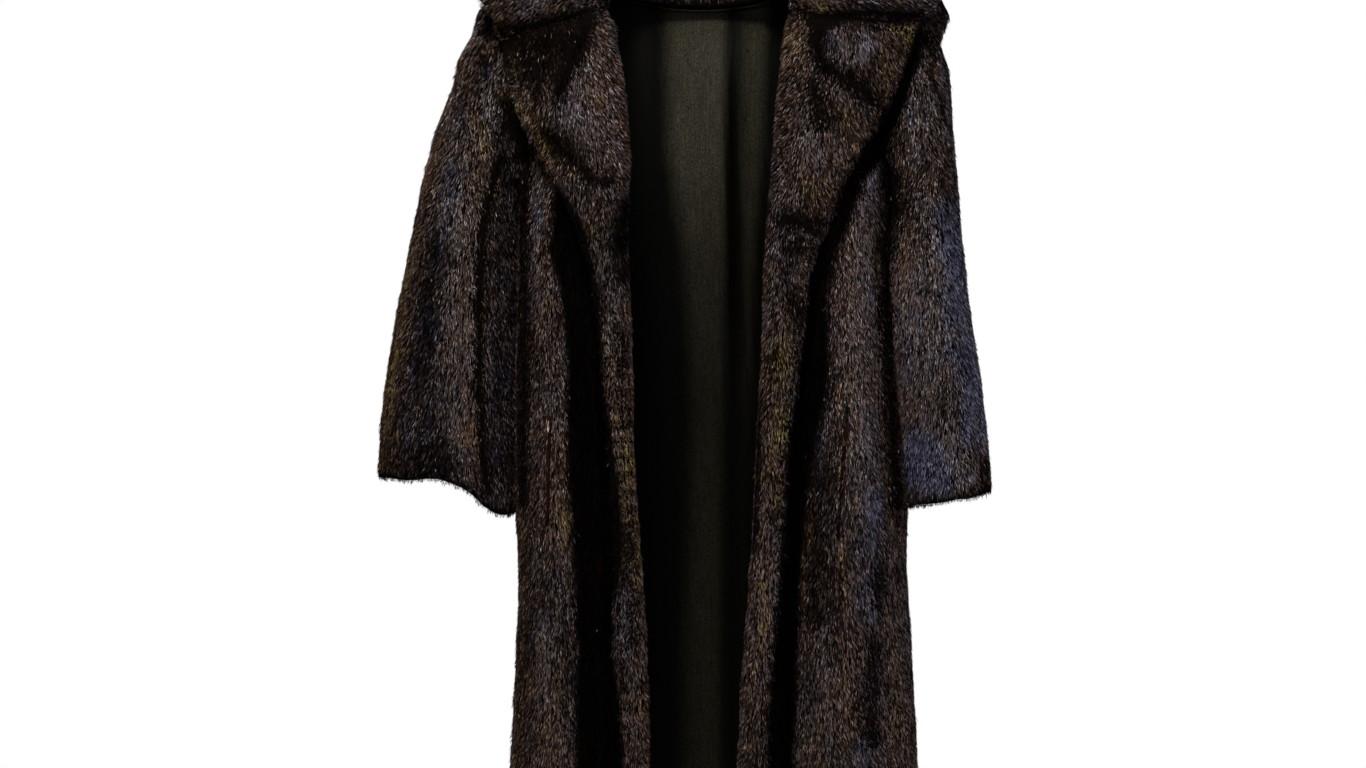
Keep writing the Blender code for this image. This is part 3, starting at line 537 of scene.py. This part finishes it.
def satin_material():
    """Satin of fine upright threads with drawn folds, shaded by the drape painted on it."""
    material, nodes, links, shader = new_material("satin")
    threads = grain(nodes, links, 2, stretch=(520, 520, 90))
    folds = grain(nodes, links, 3, stretch=(95, 95, 5))
    weave = tinted(nodes, links, threads, (
        (0.36, (0.0010, 0.0010, 0.0005)),
        (0.64, (0.0390, 0.0355, 0.0230)),
    ))
    drawn = tinted(nodes, links, folds, ((0.34, (0.62, 0.62, 0.60)), (0.66, (1.0, 1.0, 1.0))))
    drape = nodes.new("ShaderNodeAttribute")
    drape.attribute_name = "drape"
    cloth = multiplied(nodes, links, weave, drawn)
    colour = multiplied(nodes, links, cloth, drape.outputs["Color"])
    finish(links, shader, colour, 0.5, 0.02)
    emboss(nodes, links, shader, threads, 0.25, 0.0004)
    return material


def welt_material():
    material, nodes, links, shader = new_material("welt")
    nap = grain(nodes, links, 2, scale=700)
    colour = tinted(nodes, links, nap, (
        (0.30, (0.0040, 0.0014, 0.0012)),
        (0.70, (0.0100, 0.0034, 0.0028)),
    ))
    finish(links, shader, colour, 0.8, 0.0)
    return material


DULL = hair_material("guard_hair_dull", 0.60, 0.0)
GLOSSY = hair_material("guard_hair_glossy", 0.43, 0.40)
SKIN = skin_material()
LEATHER = leather_material()
SATIN = satin_material()
WELT = welt_material()


# ---- skins: the CAD solids' forms, made smooth ----
SHARP = math.radians(55)  # edges sharper than this part a solid's sides


def clean_shape(name):
    """A node's mesh with shared corners and four-sided faces, and its smooth sides by size."""
    shape = bmesh.new()
    shape.from_mesh(NODES[name].data)
    bmesh.ops.remove_doubles(shape, verts=shape.verts, dist=2e-6)
    bmesh.ops.join_triangles(
        shape, faces=shape.faces[:], angle_face_threshold=math.radians(50),
        angle_shape_threshold=math.radians(70),
    )
    shape.faces.ensure_lookup_table()
    seen, sides = set(), []
    for face in shape.faces:
        if face in seen:
            continue
        seen.add(face)
        stack, side = [face], []
        while stack:
            here = stack.pop()
            side.append(here)
            for edge in here.edges:
                if len(edge.link_faces) == 2 and edge.calc_face_angle(0) < SHARP:
                    for other in edge.link_faces:
                        if other not in seen:
                            seen.add(other)
                            stack.append(other)
        sides.append((sum(f.calc_area() for f in side), side))
    sides.sort(key=lambda pair: -pair[0])
    return shape, [side for _, side in sides]


def smooth_skin(name, label, levels, materials, depth=0.0):
    """A smooth piece on a node's form: leather side, fur side and rims are its materials 0 to 2."""
    shape, sides = clean_shape(name)
    for face in shape.faces:
        face.material_index = 2
    for side, index in zip(sides[:2], (1, 0)):
        for face in side:
            face.material_index = index
    crease = shape.edges.layers.float.new("crease_edge")
    for edge in shape.edges:
        if len(edge.link_faces) == 2 and edge.calc_face_angle(0) > SHARP:
            edge[crease] = 1.0
    mesh = bpy.data.meshes.new(label)
    shape.to_mesh(mesh)
    shape.free()
    for material in materials:
        mesh.materials.append(material)
    piece = bpy.data.objects.new(label, mesh)
    bpy.context.scene.collection.objects.link(piece)
    smooth = piece.modifiers.new("smooth", "SUBSURF")
    smooth.levels = smooth.render_levels = levels
    apply_modifiers(piece)
    if depth:
        fit(name, piece.data)
        sink(name, piece.data, depth)
    piece.data.shade_smooth()
    return piece


def apply_modifiers(piece):
    graph = bpy.context.evaluated_depsgraph_get()
    made = bpy.data.meshes.new_from_object(piece.evaluated_get(graph))
    piece.modifiers.clear()
    old = piece.data
    piece.data = made
    made.name = piece.name
    bpy.data.meshes.remove(old)


def places(mesh):
    points = np.empty(len(mesh.vertices) * 3)
    mesh.vertices.foreach_get("co", points)
    return points.reshape(-1, 3)


def move(mesh, points):
    mesh.vertices.foreach_set("co", points.ravel())
    mesh.update()


def arrays(mesh, only):
    """Points, and the triangles, smooth normals and triangle areas of one material's faces."""
    points = places(mesh)
    mesh.calc_loop_triangles()
    count = len(mesh.loop_triangles)
    corners = np.empty(count * 3, np.int32)
    mesh.loop_triangles.foreach_get("vertices", corners)
    corners = corners.reshape(-1, 3)
    which = np.empty(count, np.int32)
    mesh.loop_triangles.foreach_get("material_index", which)
    corners = corners[which == only]
    a, b, c = (points[corners[:, k]] for k in range(3))
    across = np.cross(b - a, c - a)
    normals = np.zeros_like(points)
    for k in range(3):
        np.add.at(normals, corners[:, k], across)
    return points, corners, unit(normals), np.linalg.norm(across, axis=1) / 2


def relief(name, points, normals, broad):
    """How far the broad or the narrow marks raise each point."""
    raised = np.zeros(len(points))
    for mark, strength in marks_on(name, points, normals):
        if (mark.spread >= BROAD) == broad:
            raised += mark.relief * 0.001 * strength
    return np.clip(raised, -DEEPEST if broad else -SHALLOW, HIGHEST)


def fit(name, mesh):
    """Closes the seams, squares the shoulders and drapes the cuffs as seen."""
    points, _, outward, _ = arrays(mesh, only=2)
    points += outward * (EDGE_GROWTH if name.startswith("facing") else SEAM_GROWTH)
    x, _, z = points.T
    wider = [np.interp(z, SHOULDERS[:, 0], SHOULDERS[:, k]) * PX for k in (1, 2)]
    moved = wider[1] * ramp(x, *SHOULDER_REACH) - wider[0] * ramp(-x, *SHOULDER_REACH)
    if name in CUFFS:
        line = np.array(CUFFS[name])
        lower = np.interp(x, at(line[:, 0], 0)[0], line[:, 1]) * PX
        points[:, 2] -= lower * ramp(-z, *CUFF_REACH)
    points[:, 0] += moved
    move(mesh, points)


def sink(name, mesh, depth):
    """Moves the fur side of a skin inward, but swells it where sleeve and side press together."""
    points, corners, normals, _ = arrays(mesh, only=1)
    used = np.unique(corners)
    x, y, z = points.T
    pressed = (1 - ramp(np.abs(np.abs(x) - 0.214), 0.008, 0.022)) * ramp(-z, 0.17, 0.21)
    pressed *= 1 - ramp(np.abs(y), 0.05, 0.09)
    moved = depth - 0.0060 * pressed * (1 - ramp(-z, 0.60, 0.66))
    moved -= relief(name, points, normals, broad=True)
    points[used] -= normals[used] * moved[used, None]
    move(mesh, points)


def bed(panel, mesh):
    """Lets a pocket's welt down into the fur of its panel."""
    points = places(mesh)
    forward = np.tile((0.0, -1.0, 0.0), (len(points), 1))
    points[:, 1] += WELT_SUNK - relief(panel, points, forward, broad=True)
    move(mesh, points)


# ---- hairs ----
def grow(name, points, normals, heading, lift, length, width, roll, tone, bright, glossy):
    """A piece of hairs: one thin triangle for each root."""
    count = len(points)
    slope = np.radians(lift)[:, None]
    along = unit(heading * np.cos(slope) + normals * np.sin(slope))
    side = unit(np.cross(along, normals))
    up = np.cross(side, along)
    turn = np.radians(roll)[:, None]
    side = side * np.cos(turn) + up * np.sin(turn)
    corners = np.empty((count, 3, 3))
    corners[:, 0] = points
    corners[:, 1] = points + along * (WIDEST * length)[:, None] + side * width[:, None]
    corners[:, 2] = points + along * length[:, None]
    mesh = bpy.data.meshes.new(name)
    mesh.vertices.add(count * 3)
    mesh.vertices.foreach_set("co", corners.astype(np.float32).ravel())
    mesh.loops.add(count * 3)
    mesh.loops.foreach_set("vertex_index", np.arange(count * 3, dtype=np.int32))
    mesh.polygons.add(count)
    mesh.polygons.foreach_set("loop_start", np.arange(0, count * 3, 3, dtype=np.int32))
    mesh.update(calc_edges=True)
    layer = mesh.uv_layers.new(name="OFBake")
    uv = np.empty((count, 3, 2), np.float32)
    uv[:, 0, 0] = tone - 0.002
    uv[:, 1, 0] = tone + 0.002
    uv[:, 2, 0] = tone
    uv[:, :, 1] = bright[:, None] * np.array(ALONG)
    layer.data.foreach_set("uv", uv.ravel())
    mesh.materials.append(DULL)
    mesh.materials.append(GLOSSY)
    mesh.polygons.foreach_set("material_index", glossy.astype(np.int32))
    piece = bpy.data.objects.new(name, mesh)
    bpy.context.scene.collection.objects.link(piece)
    return piece


def over_pocket(panel, density, rng):
    """Roots for the panel's hairs that lie over its pocket's welt."""
    welt = WELTS[panel].data
    areas = arrays(welt, only=1)[3]
    return scatter(welt, 1, int(density * areas.sum()), rng)


def scatter(mesh, which, count, rng):
    """Roots spread evenly over the fur side or the rims of a skin, with smooth normals."""
    points, corners, normals, areas = arrays(mesh, only=which)
    edges = np.cumsum(areas)
    pick = np.searchsorted(edges, rng.random(count) * edges[-1])
    a, b = rng.random(count), rng.random(count)
    flip = a + b > 1
    a[flip], b[flip] = 1 - a[flip], 1 - b[flip]
    weights = np.stack((1 - a - b, a, b), 1)[:, :, None]
    chosen = corners[pick]
    return (points[chosen] * weights).sum(1), unit((normals[chosen] * weights).sum(1))


def opening_at(z):
    """Where the opening's edges and the lapels' outer edges are at these heights."""
    return [np.interp(z, OPENING[:, 0], OPENING[:, k]) for k in (1, 2, 3, 4)]


def flow(name, points, normals):
    """The way the fur is combed: the heading's turn, in degrees toward +X, from straight down."""
    x, z = points[:, 0], points[:, 2]
    turn = np.zeros(len(points))
    if name.startswith("sleeve"):
        side = -1 if name.endswith("left") else 1
        reach = np.clip((np.abs(x) - 0.22) / 0.10, -0.2, 1.6)
        turn = side * (1.5 + (9.0 if side < 0 else 4.0) * reach)
    elif name.startswith("facing"):
        left, right, left_outer, right_outer = opening_at(z)
        side = -1 if name.endswith("left") else 1
        edge, outer = (left, left_outer) if side < 0 else (right, right_outer)
        share = np.clip((x - edge) / (outer - edge), 0.0, 1.0)
        lapel = ramp(np.abs(outer - edge), 0.050, 0.090)
        upright = ramp(-normals[:, 1], 0.0, 0.5)
        full = 44 - 62 * share ** 0.8
        narrow = 14 - 14 * share
        turn = -side * upright * (lapel * full + (1 - lapel) * narrow)
    return turn


def combed(name, points, normals):
    """Unit headings along the surface."""
    down = np.zeros_like(points)
    down[:, 2] = -1.0
    if name == "collar":
        out = np.zeros_like(points)
        out[:, :2] = points[:, :2] - NECK
        out = unit(out)
        facing = (normals * out).sum(1)
        down = out + np.array((0.0, 0.0, -0.55))
        stand = facing < -0.35
        down[stand] = (0.0, 0.0, 1.0)
    else:
        away = np.zeros_like(points)
        away[:, :2] = points[:, :2] - NECK
        high = ramp(normals[:, 2], 0.5, 0.95)[:, None]
        down = down + unit(away) * high * 0.8
    tangent = down - normals * (down * normals).sum(1, keepdims=True)
    heading = unit(tangent)
    across = np.cross(normals, heading)
    turn = np.radians(flow(name, points, normals))
    turn = turn + np.radians(
        9 * noise(points, 0.060, 11) + 10 * noise(points, (0.016, 0.016, 0.030), 12)
    )
    turn = turn[:, None]
    return heading * np.cos(turn) + across * np.sin(turn)


def tones(name, points):
    """Each hair's place on the tone ramp, before the marks and the random part."""
    x = points[:, 0]
    base = np.full(len(points), MEAN_TONE)
    base += 0.11 * noise(points, (0.05, 0.05, 0.20), 31) + 0.07 * noise(points, 0.12, 32)
    base += 0.20 * noise(points, (0.019, 0.019, 0.046), 34)
    pelts = np.sin(x * 2 * math.pi / PELT_WIDTH + 1.5 * noise(points, 0.25, 33))
    base += 0.04 * pelts
    if name == "back":
        base -= 0.10 * ramp(noise(points, (0.12, 0.12, 0.8), 35), 0.0, 0.8)
    return base


def band(points, rows, soft_left, soft_right):
    """How far each hair is inside an upright band: rows of height, left edge and right edge."""
    x, _, z = points.T
    rows = np.array([(*at(left, down), at(right, down)[0]) for down, left, right in rows])[::-1]
    left, right = np.interp(z, rows[:, 1], rows[:, 0]), np.interp(z, rows[:, 1], rows[:, 2])
    inside = ramp(x, left - soft_left * PX, left + soft_left * PX * 0.5)
    inside *= 1 - ramp(x, right - soft_right * PX * 0.5, right + soft_right * PX)
    return inside * (1 - ramp(z, rows[-1, 1] - 0.01, rows[-1, 1] + 0.01))


def from_line(points, line):
    """How far each point is from a line, in the front view."""
    flat = points[:, (0, 2)]
    corners = [np.array(at(*corner)) for corner in line]
    if len(corners) == 1:
        return np.linalg.norm(flat - corners[0], axis=1)
    best = np.full(len(points), 1e9)
    for a, b in zip(corners, corners[1:]):
        along = b - a
        t = np.clip(((flat - a) @ along) / (along @ along), 0, 1)
        best = np.minimum(best, np.linalg.norm(flat - a - t[:, None] * along, axis=1))
    return best


def marks_on(name, points, normals):
    """Each of a piece's marks, with how strongly it applies at each point."""
    for mark in MARKS.get(name, ()):
        strength = np.exp(-((from_line(points, mark.line) / (mark.spread * PX)) ** 2) / 2)
        if name.startswith("sleeve"):
            strength *= 0.35 + 0.65 * ramp(-normals[:, 1], -0.2, 0.2)
        elif name != "back":
            strength *= ramp(-normals[:, 1], 0.0, 0.3)
        yield mark, strength


def shade(name, points, normals):
    """Painted shade and light on the fur (1 is none, lower is painted shade, higher is painted
    light), with random darker patches, and its change of tone, from the marks and the folds.
    """
    lit = np.ones(len(points))
    tone = np.zeros(len(points))
    for mark, strength in marks_on(name, points, normals):
        lit *= 1 - mark.dark * strength
        tone += mark.tone * strength
    front = ramp(-normals[:, 1], -0.1, 0.2)
    # Painted shade: the fur in the deep folds beside the front edges is painted almost black.
    if name in ("front_left", "facing_left"):
        lit *= 1 - 0.97 * front * band(points, TROUGH_LEFT, 6, 3)
    if name in ("front_right", "facing_right", "sleeve_right"):
        lit *= 1 - 0.97 * front * band(points, TROUGH_RIGHT, 3, 9)
    lit *= 1 - 0.35 * ramp(noise(points, (0.035, 0.035, 0.12), 41), 0.0, 0.9)
    return lit, tone


def covered(name, points):
    """Roots on a front panel that its facing lies over."""
    if not name.startswith("front"):
        return np.zeros(len(points), bool)
    x, y, z = points.T
    left, right, left_outer, right_outer = opening_at(z)
    if name.endswith("left"):
        across = (x > left_outer + 0.016) & (x < left + 0.004)
    else:
        across = (x < right_outer - 0.016) & (x > right - 0.004)
    return across & (y < -0.04) & (z < -0.03)


def edge_gap(name, mesh, points):
    """How far each hair is from the nearest free edge of its piece: a cuff, a hem, a lapel."""
    rim_points, corners, _, _ = arrays(mesh, only=2)
    rim_points = rim_points[np.unique(corners)]
    low = 1.0
    top = {"sleeve": CUFF_TOP, "front": HEM_TOP, "back": HEM_TOP}.get(name.split("_")[0])
    if top is not None:
        rim_points = rim_points[rim_points[:, 2] < top]
        low = top + 0.03
    tree = KDTree(len(rim_points))
    for index, point in enumerate(rim_points):
        tree.insert(point, index)
    tree.balance()
    gap = np.full(len(points), 1.0)
    for index in np.flatnonzero(points[:, 2] < low):
        gap[index] = tree.find(points[index])[2]
    return gap


def fur(name, skin):
    """The coat of hairs on a skin."""
    rng = np.random.default_rng(sum(map(ord, name)) * 7 + 1)
    count = int(HAIRS[name] * HAIR_SHARE)
    points, normals = scatter(skin.data, 1, count, rng)
    if name in SLITS:
        more, upright = over_pocket(name, count / arrays(skin.data, only=1)[3].sum(), rng)
        points, normals = np.vstack((points, more)), np.vstack((normals, upright))
    seen = ~covered(name, points)
    if name in SLITS:
        seen &= (from_line(points, SLITS[name]) > SLIT_HALF) | (points[:, 1] > 0)
    points, normals = points[seen], normals[seen]
    rim_points, rim_normals = scatter(skin.data, 2, int(RIM_HAIRS[name] * HAIR_SHARE), rng)
    on_rim = np.arange(len(points) + len(rim_points)) >= len(points)
    points, normals = np.vstack((points, rim_points)), np.vstack((normals, rim_normals))
    count = len(points)
    points = points + normals * relief(name, points, normals, broad=False)[:, None]
    points = points - normals * (ROOT_DEPTH - SKIN_DEPTH)
    heading = combed(name, points, normals)
    across = np.cross(normals, heading)

    centre, mark = clumps(points, LOCK, 51)
    pull = ((centre - points) * across).sum(1)
    mark_two = (mark * 37.0) % 1.0
    mark_three = (mark * 101.0) % 1.0
    turn = np.arctan2(LOCK_PULL * pull, HAIR_LENGTH) + np.radians(LOCK_TURN * (mark_two - 0.5))
    turn = turn + np.radians(rng.normal(0, 6, count))
    heading = heading * np.cos(turn)[:, None] + across * np.sin(turn)[:, None]

    fill = rng.random(count) < FILL_SHARE
    kind = {key: np.where(fill, BROAD_HAIR[key], FINE_HAIR[key]) for key in BROAD_HAIR}
    lift = LIFT + 8 * noise(points, 0.045, 21) + 10 * (mark_three - 0.5) + rng.normal(0, 4, count)
    lift += kind["lift"]
    length = HAIR_LENGTH * rng.uniform(0.75, 1.2, count) * kind["length"]
    width = HAIR_WIDTH * rng.uniform(0.75, 1.3, count) * 1.0
    width *= kind["width"]
    if name == "back":
        width *= 1.35
    roll = rng.normal(0, 34, count)
    lit, shift = shade(name, points, normals)
    tone = tones(name, points) + shift + 0.16 * (mark - 0.5) + rng.normal(0, 0.065, count)
    patch = 1 + 0.40 * noise(points, (0.011, 0.011, 0.022), 42) + 0.2 * (mark_two - 0.5)
    patch += 0.40 * noise(points, (0.0028, 0.0028, 0.026), 43)
    soft = BROAD_HAIR["bright"] * patch * rng.uniform(0.6, 1.4, count)
    sharp = 0.04 + FINE_HAIR["bright"] * patch * rng.random(count) ** 2.0
    # Each hair's brightness: its own random brightness, times the painted shade and light of the
    # marks and folds.
    bright = np.clip(lit * np.where(fill, soft, sharp), 0.0, 1.0)
    # Hairs in painted shade are mostly dull and hairs in painted light mostly glossy, so the
    # painted shade and light carry into the highlights.
    glossy = ~fill & (rng.random(count) < GLOSSY_SHARE * patch * lit ** 1.5)
    gap = edge_gap(name, skin.data, points)
    inner = ramp(gap, 0.001, 0.014)
    length *= 0.40 + 0.60 * inner
    width *= 0.55 + 0.45 * inner
    if name.startswith("sleeve"):
        # Painted shadow along the cuff: the hairs are darker close to its edge.
        bright *= 0.10 + 0.90 * ramp(gap, 0.005, 0.016)
        lift -= 8 * (1 - inner)
    lift[on_rim] = rng.uniform(30, 60, on_rim.sum())
    bright[on_rim] *= RIM_BRIGHT
    tone = np.where(shift > WHITE_SPOT_SHIFT, WHITE_SPOT_TONE, np.clip(tone, 0.01, 0.92))
    piece = grow(
        f"hair_{name}", points, normals, heading, np.clip(lift, 4, 60), length, width, roll,
        tone, bright, glossy,
    )
    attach(piece, "root")
    return piece


# ---- the pieces ----
CUTS = {  # flat width and length of each piece as cut, and its flat area
    "back": ((0.66, 1.24), 0.68),
    "front_left": ((0.33, 1.24), 0.25),
    "front_right": ((0.36, 1.24), 0.29),
    "sleeve_left": ((0.50, 0.58), 0.225),
    "sleeve_right": ((0.50, 0.58), 0.225),
    "facing_left": ((0.20, 1.16), 0.097),
    "facing_right": ((0.20, 1.16), 0.100),
    "collar": ((0.48, 0.26), 0.118),
    "lining_back": ((0.66, 1.20), 0.59),
    "lining_left": ((0.30, 1.20), 0.165),
    "lining_right": ((0.33, 1.20), 0.200),
    "pocket_left": ((0.010, 0.125), None),
    "pocket_right": ((0.010, 0.125), None),
}

WELTS = {}
for name in ("pocket_left", "pocket_right"):
    welt = smooth_skin(name, f"welt_{name}", 1, (WELT, WELT, WELT))
    bed(name.replace("pocket", "front"), welt.data)
    for face in welt.data.polygons:
        face.material_index = 1 if face.normal.y < -0.7 else 2
    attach(welt, "root")
    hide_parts(name)
    flat, area = CUTS[name]
    WELTS[name.replace("pocket", "front")] = welt

for name in HAIRS:
    levels = 2 if name.startswith("facing") else 1
    skin = smooth_skin(name, f"skin_{name}", levels, (LEATHER, SKIN, SKIN), SKIN_DEPTH)
    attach(skin, "root")
    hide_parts(name)
    hair = fur(name, skin)
    flat, area = CUTS[name]

STRIPS = (  # lit ridges of the lining's drape: height, left edge, right edge, strength
    ((0.02, -0.051, 0.0216, 1.0), (-0.17, -0.049, 0.0190, 1.0), (-0.30, -0.0300, 0.0205, 0.48),
     (-0.47, -0.0220, 0.0180, 0.25), (-0.61, -0.0240, 0.0160, 0.30), (-0.76, -0.0320, 0.0156, 0.30),
     (-1.17, -0.0320, 0.0160, 0.30)),
    ((0.02, 0.0396, 0.0730, 0.75), (-0.17, 0.0370, 0.0635, 0.60), (-0.30, 0.0384, 0.0550, 0.35),
     (-0.47, 0.0384, 0.0490, 0.18), (-0.61, 0.0384, 0.0470, 0.10), (-1.17, 0.0380, 0.0470, 0.08)),
    ((0.02, -0.100, -0.0650, 0.10), (-0.06, -0.095, -0.0660, 0.06), (-0.15, -0.090, -0.0670, 0.02),
     (-1.17, -0.090, -0.0670, 0.02)),
)


def paint_drape(piece):
    """Paints the drape's light and shade into a lining's colour: painted light on the ridges,
    painted shade in the hollows between, and darker along its top.
    """
    mesh = piece.data
    x, _, z = places(mesh).T
    light = np.full(len(x), 0.03)
    for rows in STRIPS:
        rows = np.array(rows)[::-1]
        left, right, strength = (np.interp(z, rows[:, 0], rows[:, k]) for k in (1, 2, 3))
        light += strength * ramp(x, left - 0.012, left + 0.016) * (
            1 - ramp(x, right - 0.010, right + 0.006)
        )
    light *= 1 - 0.75 * ramp(z, -0.004, 0.010)
    layer = mesh.color_attributes.new("drape", "FLOAT_COLOR", "POINT")
    colour = np.ones((len(x), 4), np.float32)
    colour[:, :3] = np.clip(light, 0, 1)[:, None]
    layer.data.foreach_set("color", colour.ravel())


for name in ("lining_back", "lining_left", "lining_right"):
    cloth = smooth_skin(name, f"satin_{name}", 2, (SATIN, SATIN, SATIN))
    paint_drape(cloth)
    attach(cloth, "root")
    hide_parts(name)
    flat, area = CUTS[name]


# ---- floor and light ----
def make_floor():
    mesh = bpy.data.meshes.new("floor")
    shape = bmesh.new()
    bmesh.ops.create_circle(shape, cap_ends=True, segments=96, radius=1.5)
    bmesh.ops.translate(shape, verts=shape.verts, vec=(0, 0, -1.30))
    shape.to_mesh(mesh)
    shape.free()
    material, _, _, shader = new_material("floor")
    shader.inputs["Base Color"].default_value = (0.8, 0.8, 0.8, 1.0)
    shader.inputs["Roughness"].default_value = 0.8
    mesh.materials.append(material)
    floor = bpy.data.objects.new("floor", mesh)
    bpy.context.scene.collection.objects.link(floor)


def make_light(name, place, target, size, power, colour=(1, 1, 1)):
    data = bpy.data.lights.new(name, "AREA")
    data.size = size
    data.energy = power
    data.color = colour
    light = bpy.data.objects.new(name, data)
    light.location = place
    aim = Vector(target) - Vector(place)
    light.rotation_euler = aim.to_track_quat("-Z", "Y").to_euler()
    bpy.context.scene.collection.objects.link(light)


def make_world():
    world = bpy.data.worlds.new("studio")
    world.use_nodes = True
    nodes, links = world.node_tree.nodes, world.node_tree.links
    ambient = nodes["Background"]
    ambient.inputs["Color"].default_value = (1, 1, 1, 1)
    ambient.inputs["Strength"].default_value = 0.04
    plain = nodes.new("ShaderNodeBackground")
    plain.inputs["Color"].default_value = (1, 1, 1, 1)
    plain.inputs["Strength"].default_value = 1.0
    path = nodes.new("ShaderNodeLightPath")
    mix = nodes.new("ShaderNodeMixShader")
    links.new(path.outputs["Is Camera Ray"], mix.inputs["Fac"])
    links.new(ambient.outputs["Background"], mix.inputs[1])
    links.new(plain.outputs["Background"], mix.inputs[2])
    links.new(mix.outputs["Shader"], nodes["World Output"].inputs["Surface"])
    bpy.context.scene.world = world


make_floor()
make_light("key", (-0.45, -1.9, 2.1), (0, 0, -0.35), 0.5, 190)
make_light("fill", (0.3, -3.2, 0.3), (0, 0, -0.5), 1.0, 26)
make_light("side", (2.2, -0.3, 0.4), (0, 0, -0.3), 0.9, 40, (0.75, 0.80, 1.0))
make_light("behind", (-0.6, 2.2, 1.6), (0, 0, -0.4), 1.2, 150)
make_world()
bpy.context.scene.view_settings.view_transform = "Standard"
